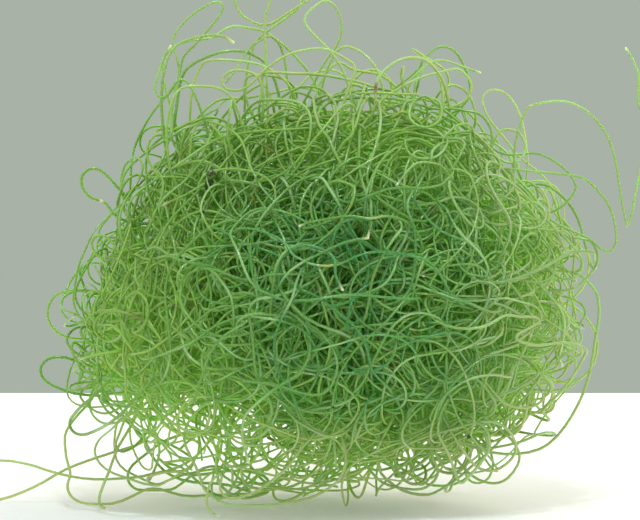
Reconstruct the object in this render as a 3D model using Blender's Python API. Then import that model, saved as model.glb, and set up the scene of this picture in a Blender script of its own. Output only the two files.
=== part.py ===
"""Chaetomorpha: a loose clump of separate, unbranched green filaments.

X runs across the clump, Y from its front to its back and Z up, in metres. The origin is on the
surface that the clump rests on, at the middle of the small flat spot underneath. The matted
filaments are one solid of their form, with strands that stand proud of it. Each loose filament
that can be followed on its own is an object of its own, and so is each bit of detritus.
Every strand is three-sided, because the finest ones are too thin to show more.
"""

import math

import bmesh
import bpy
import numpy as np
from mathutils import Vector, noise

# Driving dimensions.
FILAMENT_DIAMETER = 0.00045
CLUMP_WIDTH = 0.081
FRONT_DEPTH = 0.033
BACK_DEPTH = 0.034
GAP = 0.0003

# The photograph: the clump's width in it, the column of the origin, the row of the ground under
# the clump's middle, and how far the view looks down.
CLUMP_WIDTH_PX = 561
ORIGIN_COLUMN_PX = 320
GROUND_ROW_PX = 505
LOOK_DOWN = math.radians(5)
PIXEL = CLUMP_WIDTH / CLUMP_WIDTH_PX

# The clump's middle and its outline from the front, anticlockwise from the right. The matted
# filaments stop short of it by the fringe, which only arches and loops fill. Their own weight
# presses them together underneath, where there is no fringe. The outline's reach is averaged over
# a few degrees, so that its corners are round.
MIDDLE_PX = (325, 295)
OUTLINE_PX = (
    (592, 295), (588, 228), (568, 182), (512, 160), (472, 118), (436, 92), (385, 82), (325, 96),
    (262, 118), (215, 138), (168, 158), (116, 190), (96, 240), (60, 300), (54, 365), (78, 430),
    (128, 476), (190, 507), (255, 516), (325, 517), (388, 508), (440, 482), (505, 462), (556, 428),
    (584, 372),
)
ROUNDED_OVER_DEGREES = (-8, -4, 0, 4, 8)
FRINGE = 0.002
LUMP_SIZE = 0.018
LUMP_HEIGHT = 0.035
CORE_SUBDIVISIONS = 3

# The strands fused to the matted filaments. Their ends lie at the lowest height over the core,
# which is inside it, and their arches rise to the highest, which is less on the front, where
# loose filaments lie over them. A strand's bend wanders by its change at each step, and eases off
# by the part that it keeps.
FUSED_SEED = 1
FUSED_STRANDS = 49
FUSED_DIAMETER = 0.0017
FUSED_LENGTH = 0.057
FUSED_STEP = 0.0052
FUSED_LOWEST = -0.0016
FUSED_ARCH = 0.0036
FUSED_FRONT_ARCH = 0.0009
FRONT_ENDS_AT = 0.15
FUSED_ARCHES = (1.2, 2.2)
FIRST_BEND = 0.25
BEND_KEPT = 0.8
BEND_CHANGE = 0.16

# The loose filaments: how deep the two ends of each lie in millimetres, where negative is nearer
# the front, and points along it in the photograph. Those at the top, the sides and the underside
# spring from the matted filaments and end at them. Those over the front, low in front and behind
# lie on the matted filaments, and are drawn out of them towards the front or the back.
LOOSE_STEP = 0.0022
SIDES = 3
LIES_OVER = 0.0012
DRAWN_STEP = 0.0002
DEEPEST = 0.05

# How the loose filaments are moved clear of each other: along each, a push is spread over its
# neighbours, and a little more of it is kept than an average would keep.
SETTLE_STEP = 0.0006
SETTLE_ROUNDS = 40
SETTLE_SPREAD = 7
SETTLE_KEPT = 1.4
SPARE = 0.0004
ROWS_AT_ONCE = 400

TOP_FILAMENTS = {
    "low_ring_at_crown": (10, 14, (
        (356, 108), (352, 90), (358, 74), (374, 68), (390, 78), (392, 96), (382, 112),
    )),
    "tall_loop_upper_left": (-5, 2, (
        (180, 155), (173, 140), (172, 120), (174, 100), (178, 85), (180, 70), (177, 57), (173, 45),
        (175, 35), (185, 22), (200, 10), (217, 2), (224, 6), (220, 16), (205, 34), (192, 48), (183, 56),
    )),
    "hook_upper_left": (-9, -8, (
        (172, 48), (165, 60), (160, 75), (156, 88), (158, 97), (164, 100), (170, 95), (176, 85),
        (184, 80), (194, 92), (203, 115), (210, 140), (214, 170),
    )),
    "high_arc_upper_left": (3, 6, (
        (174, 125), (178, 95), (185, 70), (210, 55), (235, 50), (255, 55), (268, 66), (278, 90),
        (280, 115),
    )),
    "low_arc_upper_left": (-3, -2, (
        (190, 115), (194, 85), (205, 63), (230, 61), (262, 66), (288, 84), (300, 110),
    )),
    "short_arc_upper_left": (-12, -10, (
        (172, 172), (168, 138), (172, 108), (182, 90), (200, 88), (220, 90), (235, 103), (243, 128),
        (248, 156),
    )),
    "pink_tipped_filament": (-2, -6, (
        (172, 176), (165, 140), (162, 100), (166, 66), (178, 46), (205, 37), (225, 38), (234, 44),
    )),
    "oval_loop_top": (-6, -12, (
        (262, 122), (264, 95), (258, 78), (245, 72), (232, 72), (224, 78), (222, 85), (228, 91),
        (240, 92), (250, 87), (265, 72), (285, 58), (305, 52), (325, 51), (340, 58), (355, 68),
        (352, 80), (345, 100),
    )),
    "double_loop_at_crown": (-1, 8, (
        (268, 118), (266, 60), (265, 20), (271, 0), (266, -9), (250, -13), (238, -8), (235, 2),
        (241, 15), (255, 23), (268, 25), (285, 15), (300, 5), (312, -2), (319, -9), (314, -15),
        (306, -8), (298, 8), (282, 20), (264, 33), (252, 48), (246, 75), (244, 120),
    )),
    "narrow_loop_at_crown": (-8, 0, (
        (352, 104), (344, 74), (328, 50), (315, 38), (304, 23), (310, 12), (325, 2), (335, 8),
        (341, 20), (341, 35), (336, 48), (325, 62), (315, 82), (305, 100), (292, 125),
    )),
    "arc_at_crown": (4, -2, (
        (318, 108), (326, 72), (340, 48), (355, 49), (368, 58), (378, 72), (384, 94),
    )),
    "ring_upper_right": (-11, -4, (
        (401, 112), (392, 120), (384, 116), (377, 105), (375, 89), (378, 79), (387, 69), (400, 61),
        (412, 59), (424, 61), (434, 69), (443, 83), (447, 99), (451, 122), (454, 139),
    )),
    "pointed_filament_upper_right": (-2, 1, (
        (402, 105), (412, 80), (430, 63), (445, 61), (460, 66), (480, 73),
    )),
    "small_arch_upper_right": (4, 7, (
        (414, 100), (417, 76), (425, 58), (440, 46), (455, 50), (463, 62), (470, 80), (470, 96),
        (458, 112),
    )),
    "coil_upper_right": (-7, -9, (
        (484, 190), (487, 170), (490, 155), (491, 143), (497, 133), (507, 130), (518, 134),
        (524, 145), (521, 158), (511, 164), (500, 161), (491, 152), (480, 140), (470, 132),
    )),
}
SIDE_FILAMENTS = {
    "long_filament_far_right": (-9, -1, (
        (513, 172), (513, 150), (517, 130), (525, 110), (528, 107), (545, 103), (560, 102),
        (575, 106), (590, 116), (603, 132), (612, 153), (617, 180), (621, 205), (625, 223),
        (626, 228), (630, 218), (634, 195), (640, 165), (645, 140), (641, 115), (636, 97),
        (638, 78), (632, 60), (625, 49),
    )),
    "shoulder_filament_right": (-12, -4, (
        (482, 200), (480, 178), (490, 169), (530, 172), (560, 175), (580, 178), (595, 190),
        (605, 202), (611, 215), (615, 235), (613, 248), (607, 252), (597, 247), (588, 238),
    )),
    "side_loop_right": (-6, -3, (
        (556, 290), (568, 290), (579, 285), (588, 275), (596, 264), (596, 251), (590, 241),
        (578, 238),
    )),
    "hanging_filament_right": (-2, -4, (
        (582, 276), (596, 292), (599, 313), (594, 345), (590, 370), (580, 400), (562, 430),
        (542, 448), (515, 454), (490, 452), (475, 446),
    )),
    "side_loop_upper_left": (-4, -3, (
        (112, 212), (106, 202), (93, 199), (84, 190), (82, 178), (88, 170), (98, 169), (108, 176),
        (120, 190),
    )),
    "side_loop_left": (-10, -9, (
        (132, 266), (119, 249), (113, 242), (107, 236), (101, 235), (95, 238), (93, 245), (97, 254),
        (104, 259), (113, 256), (128, 250),
    )),
    "side_loop_low_left": (-2, 0, (
        (100, 396), (76, 394), (58, 388), (44, 380), (40, 368), (50, 358), (68, 358), (86, 366),
    )),
}
LOW_FILAMENTS = {
    "low_loop_right": (-8, -6, (
        (490, 420), (509, 437), (517, 448), (519, 459), (513, 471), (504, 480), (493, 483),
        (480, 480), (470, 474), (458, 462),
    )),
    "low_bend_middle": (-14, -16, (
        (358, 448), (366, 464), (381, 480), (400, 486), (420, 487), (432, 480), (437, 470), (432, 456),
    )),
    "standing_filament_left": (-6, -9, (
        (118, 446), (110, 470), (105, 482), (100, 496), (101, 506), (108, 512),
    )),
    "creeping_loop_left": (-2, -4, (
        (80, 412), (66, 431), (65, 447), (67, 462), (71, 474), (67, 484), (69, 494), (77, 501),
        (88, 504), (104, 505), (122, 501), (140, 492),
    )),
    "far_loop_left": (2, 1, (
        (136, 446), (100, 457), (65, 470), (35, 487), (2, 500), (-14, 499), (-22, 484), (-15, 468),
        (0, 461), (28, 465), (56, 474), (92, 480), (140, 478),
    )),
}
LOW_FRONT_FILAMENTS = {
    "inner_low_loop_right": (-14, -15, (
        (508, 430), (514, 442), (513, 452), (507, 460), (497, 467), (486, 469), (474, 464),
        (464, 452),
    )),
    "kinked_filament_low_right": (-16, -18, (
        (444, 446), (450, 460), (455, 474), (459, 482), (465, 476), (478, 462), (488, 446),
    )),
    "brown_tipped_filament": (-26, -28, (
        (268, 392), (254, 404), (246, 413), (244, 426), (244, 437), (247, 446), (250, 458),
    )),
    "kinked_loop_low_left": (-22, -22, (
        (220, 512), (211, 507), (208, 497), (210, 484), (216, 474), (225, 470), (221, 482),
        (224, 491), (233, 495), (245, 493), (260, 486), (274, 476), (290, 462),
    )),
    "creeping_filament_front": (-20, -21, (
        (205, 486), (225, 500), (258, 502), (290, 499), (316, 492), (338, 478),
    )),
    "low_loop_left": (-8, -10, (
        (84, 404), (71, 420), (74, 431), (84, 434), (98, 429), (112, 421), (127, 409), (138, 396),
    )),
    "hanging_loop_left": (-12, -10, (
        (128, 414), (113, 428), (101, 438), (96, 449), (99, 459), (106, 467), (117, 473),
        (130, 477), (144, 482), (160, 484),
    )),
}
BACK_FILAMENTS = {
    "back_arc_at_crown": (12, 18, (
        (286, 122), (292, 96), (310, 74), (335, 68), (352, 84), (360, 110),
    )),
    "back_loop_left": (12, 16, (
        (110, 300), (80, 290), (52, 296), (44, 318), (58, 336), (84, 340), (104, 334),
    )),
    "back_loop_right": (14, 10, (
        (560, 300), (584, 312), (600, 338), (596, 366), (576, 384), (552, 380),
    )),
    "back_bend_low": (14, 18, (
        (400, 470), (430, 488), (462, 486), (482, 466), (478, 446),
    )),
    "back_loop_low_left": (14, 14, (
        (150, 452), (128, 470), (126, 486), (142, 496), (168, 494), (188, 480),
    )),
}
FRONT_FILAMENTS = {
    "cream_tipped_filament": (-24, -24, (
        (300, 227), (309, 223), (323, 221), (338, 218), (355, 218), (369, 220), (382, 217),
        (393, 218), (404, 222),
    )),
    "wavy_filament_front": (-24, -24, (
        (240, 229), (252, 229), (266, 233), (279, 238), (288, 246), (293, 255), (302, 260),
        (312, 264), (325, 266), (338, 264), (350, 259), (361, 254), (375, 252), (389, 252),
        (402, 254), (420, 258),
    )),
    "pale_arc_front": (-24, -24, (
        (367, 238), (355, 240), (343, 243), (332, 248), (320, 254), (309, 260), (297, 266),
        (288, 273), (282, 282),
    )),
    "down_turned_arc_front": (-24, -24, (
        (292, 249), (303, 245), (315, 247), (326, 251), (333, 257), (335, 264), (334, 272),
        (337, 280), (342, 289),
    )),
    "long_sweep_front": (-24, -24, (
        (232, 236), (240, 252), (246, 268), (252, 281), (262, 290), (276, 296), (291, 299),
        (309, 299), (326, 297), (343, 294), (361, 294), (378, 296), (395, 297), (408, 298),
    )),
    "falling_sweep_front": (-24, -24, (
        (304, 290), (318, 296), (330, 304), (343, 315), (355, 326), (363, 338), (368, 356),
    )),
    "kinked_filament_front": (-24, -24, (
        (366, 198), (378, 193), (390, 190), (402, 189), (412, 191), (407, 199), (405, 208),
        (407, 217), (412, 226),
    )),
    "swinging_arc_front": (-24, -24, (
        (250, 316), (252, 305), (259, 298), (269, 296),
    )),
    "rising_filament_front": (-24, -24, (
        (304, 266), (299, 275), (296, 285), (293, 296), (287, 308), (281, 320), (276, 334),
    )),
    "straight_filament_right_front": (-20, -20, (
        (443, 208), (451, 225), (461, 238), (471, 247), (479, 256), (485, 268),
    )),
    "slanting_filament_right_front": (-14, -8, (
        (508, 280), (527, 273), (547, 264), (564, 254), (579, 251), (592, 252),
    )),
    "folded_filament_right_front": (-20, -16, (
        (484, 324), (502, 314), (515, 316), (528, 316), (538, 319), (528, 326), (511, 336),
        (530, 344), (553, 342), (568, 342), (584, 348),
    )),
    "bow_left_front": (-22, -22, (
        (168, 352), (196, 340), (214, 326), (234, 318), (256, 314), (276, 318),
    )),
    "sweep_low_front": (-22, -22, (
        (196, 398), (204, 376), (212, 352), (226, 334), (246, 322),
    )),
}

# The detritus: its pixel, its depth in millimetres, at which it lies on the strands that carry it,
# and half its size along X, Y and Z.
DETRITUS_ROUGHNESS = 0.35
DETRITUS_LUMPS = 1.7
LARGE_DETRITUS = 0.001
DETRITUS = {
    "detritus_upper_left": ((211, 184), -18.3, (0.0013, 0.0011, 0.0021)),
    "detritus_left": ((205, 214), -23.4, (0.0007, 0.0006, 0.0006)),
    "detritus_low_middle": ((332, 404), -29.15, (0.0005, 0.0005, 0.0006)),
    "detritus_low_right": ((467, 435), -19.2, (0.0006, 0.0005, 0.0005)),
}


def clear_scene():
    for thing in list(bpy.data.objects):
        bpy.data.objects.remove(thing, do_unlink=True)


def finish(name, colour, roughness):
    """A Principled material with one colour, in linear values."""
    material = bpy.data.materials.new(name)
    material.use_nodes = True
    shader = material.node_tree.nodes["Principled BSDF"]
    shader.inputs["Base Color"].default_value = (*colour, 1.0)
    shader.inputs["Roughness"].default_value = roughness
    shader.inputs["Metallic"].default_value = 0.0
    return material


def add_object(name, data, material):
    thing = bpy.data.objects.new(name, data)
    bpy.context.collection.objects.link(thing)
    if material:
        data.materials.append(material)
    return thing


def from_pixel(column, row, depth):
    """The place that a pixel shows, at a depth behind the clump's middle plane."""
    height = ((GROUND_ROW_PX - row) * PIXEL - depth * math.sin(LOOK_DOWN)) / math.cos(LOOK_DOWN)
    return Vector(((column - ORIGIN_COLUMN_PX) * PIXEL, depth, height))


MIDDLE = from_pixel(*MIDDLE_PX, 0.0)


def outline_reach():
    """Angle and reach of each outline point about the middle, in order of angle."""
    reaches = []
    for column, row in OUTLINE_PX:
        across = (column - MIDDLE_PX[0]) * PIXEL
        up = (MIDDLE_PX[1] - row) * PIXEL
        reaches.append((math.atan2(up, across), math.hypot(across, up)))
    return np.array(sorted(reaches))


OUTLINE = outline_reach()


def reach(direction):
    """How far the matted filaments go from the middle along a unit direction."""
    angle = math.atan2(direction.z, direction.x)
    spread = angle + np.radians(ROUNDED_OVER_DEGREES)
    across = float(np.interp(spread, OUTLINE[:, 0], OUTLINE[:, 1], period=2 * math.pi).mean())
    depth = FRONT_DEPTH if direction.y < 0 else BACK_DEPTH
    along = math.hypot(direction.x, direction.z)
    plain = 1 / math.sqrt((along / across) ** 2 + (direction.y / depth) ** 2)
    lump = noise.noise(direction * (plain / LUMP_SIZE))
    fringe = FRINGE * min(1, 1 + direction.z)
    return plain * (1 + LUMP_HEIGHT * lump) - fringe


def height_over_core(point):
    """How far outside the matted filaments a point is, along its own direction from the middle."""
    away = point - MIDDLE
    return away.length - reach(away.normalized())


def drawn_out(column, row, depth, clearance):
    """The place of a pixel, moved along Y until it is clear of the matted filaments."""
    step = math.copysign(DRAWN_STEP, depth)
    point = from_pixel(column, row, depth)
    while height_over_core(point) < clearance and abs(depth) < DEEPEST:
        depth += step
        point = from_pixel(column, row, depth)
    return point


def smooth_curve(points, step):
    """Points at an even step along a curve through the given ones."""
    points = [Vector(p) for p in points]
    padded = [points[0] * 2 - points[1], *points, points[-1] * 2 - points[-2]]
    fine = []
    for before, start, end, after in zip(padded, padded[1:], padded[2:], padded[3:]):
        for part in np.linspace(0, 1, 20, endpoint=False):
            fine.append(
                0.5 * (
                    2 * start + (end - before) * part
                    + (2 * before - 5 * start + 4 * end - after) * part**2
                    + (3 * start - before - 3 * end + after) * part**3
                )
            )
    fine.append(points[-1])
    fine = np.array(fine)
    lengths = np.linalg.norm(np.diff(fine, axis=0), axis=1)
    travelled = np.concatenate(([0.0], np.cumsum(lengths)))
    count = max(3, round(travelled[-1] / step))
    even = np.linspace(0, travelled[-1], count + 1)
    return np.stack([np.interp(even, travelled, fine[:, axis]) for axis in range(3)], axis=1)


def springing_route(first_depth, last_depth, pixels):
    """The route of a filament that springs from the matted filaments, from where it leaves them."""
    depths = np.linspace(first_depth, last_depth, len(pixels)) / 1000
    places = [from_pixel(*pixel, depth) for pixel, depth in zip(pixels, depths)]
    route = smooth_curve(places, SETTLE_STEP)
    outside = [height_over_core(Vector(point)) > FILAMENT_DIAMETER + GAP for point in route]
    return route[outside.index(True) : len(route) - outside[::-1].index(True)]


def lying_route(first_depth, last_depth, pixels):
    """The route of a filament that lies over the matted filaments."""
    depths = np.linspace(first_depth, last_depth, len(pixels)) / 1000
    places = [drawn_out(*pixel, depth, LIES_OVER) for pixel, depth in zip(pixels, depths)]
    return smooth_curve(places, SETTLE_STEP)


def fused_route(index, rng):
    """A strand that wanders over the matted filaments, arches out of them and goes back in."""
    # The starting directions are spread evenly over the ball.
    turn = index * math.pi * (3 - math.sqrt(5))
    across = 1 - 2 * (index + 0.5) / FUSED_STRANDS
    ring = math.sqrt(1 - across * across)
    direction = Vector((ring * math.cos(turn), ring * math.sin(turn), across)).normalized()
    heading = direction.cross(Vector(rng.normal(size=3))).normalized()
    steps = round(FUSED_LENGTH / FUSED_STEP)
    bend = rng.normal(scale=FIRST_BEND)
    arches = rng.uniform(*FUSED_ARCHES)
    points = []
    for place in range(steps + 1):
        part = place / steps
        wave = math.sin(math.pi * part) * abs(math.sin(arches * math.pi * part))
        highest = FUSED_FRONT_ARCH if direction.y < FRONT_ENDS_AT else FUSED_ARCH
        height = FUSED_LOWEST + (highest - FUSED_LOWEST) * wave
        distance = reach(direction) + height
        points.append(MIDDLE + direction * distance)
        bend = BEND_KEPT * bend + rng.normal(scale=BEND_CHANGE)
        heading = (heading + direction.cross(heading) * bend).normalized()
        direction = (direction + heading * (FUSED_STEP / distance)).normalized()
        heading = (heading - direction * heading.dot(direction)).normalized()
    return points


def mean_push(away, close_mask, nearest):
    """The mean of the moves that would bring each point to the nearest allowed distance."""
    distance = np.linalg.norm(away, axis=2)
    close = close_mask & (distance < nearest)
    push = np.where(close, (nearest - distance) / np.maximum(distance, 1e-6), 0)
    return (away * push[:, :, None]).sum(axis=1) / np.maximum(close.sum(axis=1), 1)[:, None]


def push_apart(points, owners, places, others, nearest, nearest_other):
    """Moves that part each point from the loose and the fused strands that are too close."""
    moves = np.zeros_like(points)
    for start in range(0, len(points), ROWS_AT_ONCE):
        rows = slice(start, start + ROWS_AT_ONCE)
        same = owners[rows, None] == owners[None, :]
        near_along = np.abs(places[rows, None] - places[None, :]) < 4 * nearest / SETTLE_STEP
        away = points[rows, None, :] - points[None, :, :]
        moves[rows] = mean_push(away, ~(same & near_along), nearest) / 2
        away = points[rows, None, :] - others[None, :, :]
        moves[rows] += mean_push(away, np.True_, nearest_other)
    return moves


def settle(routes, fused):
    """The loose routes, moved clear of each other, of the fused strands and of the ground."""
    points = np.concatenate(routes)
    owners = np.concatenate([np.full(len(route), index) for index, route in enumerate(routes)])
    places = np.concatenate([np.arange(len(route)) for route in routes])
    others = np.concatenate([smooth_curve(route, 2 * SETTLE_STEP) for route in fused])
    nearest = FILAMENT_DIAMETER + GAP + SPARE
    nearest_other = (FILAMENT_DIAMETER + FUSED_DIAMETER) / 2 + GAP + SPARE
    lowest = FILAMENT_DIAMETER / 2 + GAP
    ends = np.cumsum([len(route) for route in routes])[:-1]
    share = np.full(SETTLE_SPREAD, SETTLE_KEPT / SETTLE_SPREAD)
    for _ in range(SETTLE_ROUNDS):
        moves = push_apart(points, owners, places, others, nearest, nearest_other)
        smoothed = [
            np.stack([np.convolve(part[:, axis], share, "same") for axis in range(3)], axis=1)
            for part in np.split(moves, ends)
        ]
        points = points + np.concatenate(smoothed)
        points[:, 2] = np.maximum(points[:, 2], lowest)
        for index, point in enumerate(points):
            place = Vector(point)
            short = GAP + FILAMENT_DIAMETER - height_over_core(place)
            if short > 0:
                points[index] = place + (place - MIDDLE).normalized() * short
    return np.split(points, ends)


def strand_profile():
    """The closed outline that every strand is swept from, as thick as one filament."""
    curve = bpy.data.curves.new("strand_profile", "CURVE")
    spline = curve.splines.new("POLY")
    spline.points.add(SIDES - 1)
    for index, place in enumerate(spline.points):
        angle = -2 * math.pi * index / SIDES
        radius = FILAMENT_DIAMETER / 2
        place.co = (radius * math.cos(angle), radius * math.sin(angle), 0, 1)
    spline.use_cyclic_u = True
    profile = add_object("strand_profile", curve, None)
    hide_as_guide(profile)
    return profile


def strand_curve(name, points, profile, thickness):
    """The profile swept along the points, with filled ends."""
    curve = bpy.data.curves.new(name, "CURVE")
    curve.dimensions = "3D"
    curve.bevel_mode = "OBJECT"
    curve.bevel_object = profile
    curve.use_fill_caps = True
    spline = curve.splines.new("POLY")
    spline.points.add(len(points) - 1)
    for place, point in zip(spline.points, points):
        place.co = (*point, 1.0)
        place.radius = thickness / FILAMENT_DIAMETER
    return curve


def mesh_of(curve):
    """The closed mesh of a strand's curve."""
    guide = add_object("guide", curve, None)
    swept = guide.evaluated_get(bpy.context.evaluated_depsgraph_get())
    mesh = bpy.data.meshes.new_from_object(swept)
    bpy.data.objects.remove(guide, do_unlink=True)
    shape = bmesh.new()
    shape.from_mesh(mesh)
    bmesh.ops.remove_doubles(shape, verts=shape.verts, dist=1e-6)
    bmesh.ops.recalc_face_normals(shape, faces=shape.faces)
    shape.to_mesh(mesh)
    shape.free()
    return mesh


def hide_as_guide(thing):
    thing.hide_render = True
    thing.display_type = "WIRE"


def matted_filaments(fused, profile, material):
    """The solid of the matted filaments, cut flat where they rest."""
    mesh = bpy.data.meshes.new("matted_filaments")
    shape = bmesh.new()
    bmesh.ops.create_icosphere(shape, subdivisions=CORE_SUBDIVISIONS, radius=1.0)
    for corner in shape.verts:
        direction = corner.co.normalized()
        corner.co = MIDDLE + direction * reach(direction)
    shape.to_mesh(mesh)
    shape.free()
    body = add_object("matted_filaments", mesh, material)

    strands = bpy.data.collections.new("fused_strands")
    bpy.context.scene.collection.children.link(strands)
    for index, route in enumerate(fused):
        name = f"fused_strand_{index + 1}"
        curve = strand_curve(name, route, profile, FUSED_DIAMETER)
        strand = bpy.data.objects.new(name, mesh_of(curve))
        strands.objects.link(strand)
        hide_as_guide(strand)
    join = body.modifiers.new("fused strands", "BOOLEAN")
    join.operation = "UNION"
    join.operand_type = "COLLECTION"
    join.collection = strands
    join.solver = "EXACT"
    join.use_self = True

    side = 3 * CLUMP_WIDTH
    ground = bpy.data.meshes.new("ground")
    shape = bmesh.new()
    bmesh.ops.create_cube(shape, size=side)
    bmesh.ops.translate(shape, verts=shape.verts, vec=(0, 0, -side / 2))
    shape.to_mesh(ground)
    shape.free()
    cutter = add_object("ground_cutter", ground, None)
    hide_as_guide(cutter)
    cut = body.modifiers.new("flat spot", "BOOLEAN")
    cut.operation = "DIFFERENCE"
    cut.object = cutter
    cut.solver = "EXACT"
    return body


def detritus_bit(name, pixel, depth, half_size, seed, material):
    """A rough lump that clings to the front of the clump."""
    mesh = bpy.data.meshes.new(name)
    shape = bmesh.new()
    subdivisions = 2 if max(half_size) > LARGE_DETRITUS else 1
    bmesh.ops.create_icosphere(shape, subdivisions=subdivisions, radius=1.0)
    for corner in shape.verts:
        lump = noise.noise(corner.co * DETRITUS_LUMPS + Vector((seed, 0, 0)))
        rough = 1 + DETRITUS_ROUGHNESS * lump
        corner.co = Vector(a * b for a, b in zip(corner.co, half_size)) * rough
    shape.to_mesh(mesh)
    shape.free()
    bit = add_object(name, mesh, material)
    bit.location = from_pixel(*pixel, depth / 1000)
    return bit


def main():
    clear_scene()
    matted_green = finish("matted algae", (0.080, 0.240, 0.050), 0.55)
    outer_green = finish("outer filament", (0.200, 0.420, 0.060), 0.40)
    front_green = finish("front filament", (0.060, 0.270, 0.090), 0.40)
    brown = finish("detritus", (0.035, 0.040, 0.020), 0.85)

    rng = np.random.default_rng(FUSED_SEED)
    fused = [fused_route(index, rng) for index in range(FUSED_STRANDS)]
    profile = strand_profile()
    matted_filaments(fused, profile, matted_green)

    springing = {**TOP_FILAMENTS, **SIDE_FILAMENTS, **LOW_FILAMENTS}
    lying = {**FRONT_FILAMENTS, **LOW_FRONT_FILAMENTS, **BACK_FILAMENTS}
    routes = [springing_route(*facts) for facts in springing.values()]
    routes += [lying_route(*facts) for facts in lying.values()]
    for name, route in zip((*springing, *lying), settle(routes, fused)):
        material = front_green if name in FRONT_FILAMENTS else outer_green
        places = smooth_curve(route[:: round(LOOSE_STEP / SETTLE_STEP)], LOOSE_STEP)
        add_object(name, strand_curve(name, places, profile, FILAMENT_DIAMETER), material)
    for seed, (name, facts) in enumerate(DETRITUS.items()):
        detritus_bit(name, *facts, seed, brown)


main()
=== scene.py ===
"""The looks of a loose clump of chaetomorpha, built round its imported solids.

Every filament is a thin tube of its own. Those that can be followed one by one follow the same
points as their solids, and run on into the tangle where they don't end in a tip. The rest wander
through the space that the matted filaments' solid holds, as wiry filaments do, and all are then
moved apart until hardly any lies in another. Lengths are in metres, in the solids' own frame.
"""

import math

import bmesh
import bpy
import numpy as np
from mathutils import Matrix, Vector, noise


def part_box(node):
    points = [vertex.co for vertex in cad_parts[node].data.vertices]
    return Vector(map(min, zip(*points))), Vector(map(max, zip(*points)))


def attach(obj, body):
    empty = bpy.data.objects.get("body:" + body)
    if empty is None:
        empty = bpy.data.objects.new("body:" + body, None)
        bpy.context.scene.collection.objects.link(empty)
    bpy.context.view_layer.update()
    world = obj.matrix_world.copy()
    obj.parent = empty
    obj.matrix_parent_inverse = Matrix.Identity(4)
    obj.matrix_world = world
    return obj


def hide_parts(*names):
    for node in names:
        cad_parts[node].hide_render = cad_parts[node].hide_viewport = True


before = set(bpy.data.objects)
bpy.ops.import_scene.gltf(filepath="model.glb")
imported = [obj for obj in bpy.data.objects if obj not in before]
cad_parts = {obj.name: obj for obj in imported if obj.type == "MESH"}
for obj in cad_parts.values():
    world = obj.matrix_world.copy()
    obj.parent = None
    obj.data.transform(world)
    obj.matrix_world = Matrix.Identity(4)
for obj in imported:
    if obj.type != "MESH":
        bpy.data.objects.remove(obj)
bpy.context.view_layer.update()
MILLIMETRE = 0.001

# Light goes on from filament to filament many times before it leaves the clump.
bpy.context.scene.cycles.diffuse_bounces = 12
bpy.context.scene.cycles.max_bounces = 24

# Driving dimensions, as the solids have them.
FILAMENT_DIAMETER = 0.00045
CLUMP_WIDTH = 0.081
FRONT_DEPTH = 0.033
BACK_DEPTH = 0.034

# The photograph's frame: the clump's width in it, the column of the origin, the row of the ground
# under the clump's middle, and how far the view looks down.
FRAME_PX = (640, 520)
CLUMP_WIDTH_PX = 561
ORIGIN_COLUMN_PX = 320
GROUND_ROW_PX = 505
LOOK_DOWN = math.radians(5)
PIXEL = CLUMP_WIDTH / CLUMP_WIDTH_PX

# The clump's middle and its outline from the front, as the solids have them.
MIDDLE_PX = (325, 295)
OUTLINE_PX = (
    (592, 295), (588, 228), (568, 182), (512, 160), (472, 118), (436, 92), (385, 82), (325, 96),
    (262, 118), (215, 138), (168, 158), (116, 190), (96, 240), (60, 300), (54, 365), (78, 430),
    (128, 476), (190, 507), (255, 516), (325, 517), (388, 508), (440, 482), (505, 462), (556, 428),
    (584, 372),
)

# The solid's surface: the outline is rounded over these angles, it stops short of it by the fringe,
# less so towards its foot, and it swells and sinks in lumps of this size by this share of its reach.
ROUNDED_OVER_DEGREES = (-8, -4, 0, 4, 8)
FRINGE = 0.002
LUMP_SIZE = 0.018
LUMP_HEIGHT = 0.035


def from_pixel(column, row, depth):
    """The place that a pixel shows, at a depth behind the clump's middle plane."""
    height = ((GROUND_ROW_PX - row) * PIXEL - depth * math.sin(LOOK_DOWN)) / math.cos(LOOK_DOWN)
    return Vector(((column - ORIGIN_COLUMN_PX) * PIXEL, depth, height))


def column_and_row(points):
    """The column and the row of the photograph where each point shows."""
    height = points[:, 2] * math.cos(LOOK_DOWN) + points[:, 1] * math.sin(LOOK_DOWN)
    return points[:, 0] / PIXEL + ORIGIN_COLUMN_PX, GROUND_ROW_PX - height / PIXEL


MIDDLE = from_pixel(*MIDDLE_PX, 0.0)


def outline_reach():
    """Angle and reach of each outline point about the middle, in order of angle."""
    reaches = []
    for column, row in OUTLINE_PX:
        across = (column - MIDDLE_PX[0]) * PIXEL
        up = (MIDDLE_PX[1] - row) * PIXEL
        reaches.append((math.atan2(up, across), math.hypot(across, up)))
    return np.array(sorted(reaches))


OUTLINE = outline_reach()


def reach(direction):
    """How far the matted filaments' solid goes from the middle along a unit direction."""
    angle = math.atan2(direction.z, direction.x)
    spread = angle + np.radians(ROUNDED_OVER_DEGREES)
    across = float(np.interp(spread, OUTLINE[:, 0], OUTLINE[:, 1], period=2 * math.pi).mean())
    depth = FRONT_DEPTH if direction.y < 0 else BACK_DEPTH
    along = math.hypot(direction.x, direction.z)
    plain = 1 / math.sqrt((along / across) ** 2 + (direction.y / depth) ** 2)
    lump = noise.noise(direction * (plain / LUMP_SIZE))
    fringe = FRINGE * min(1, 1 + direction.z)
    return plain * (1 + LUMP_HEIGHT * lump) - fringe


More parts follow.
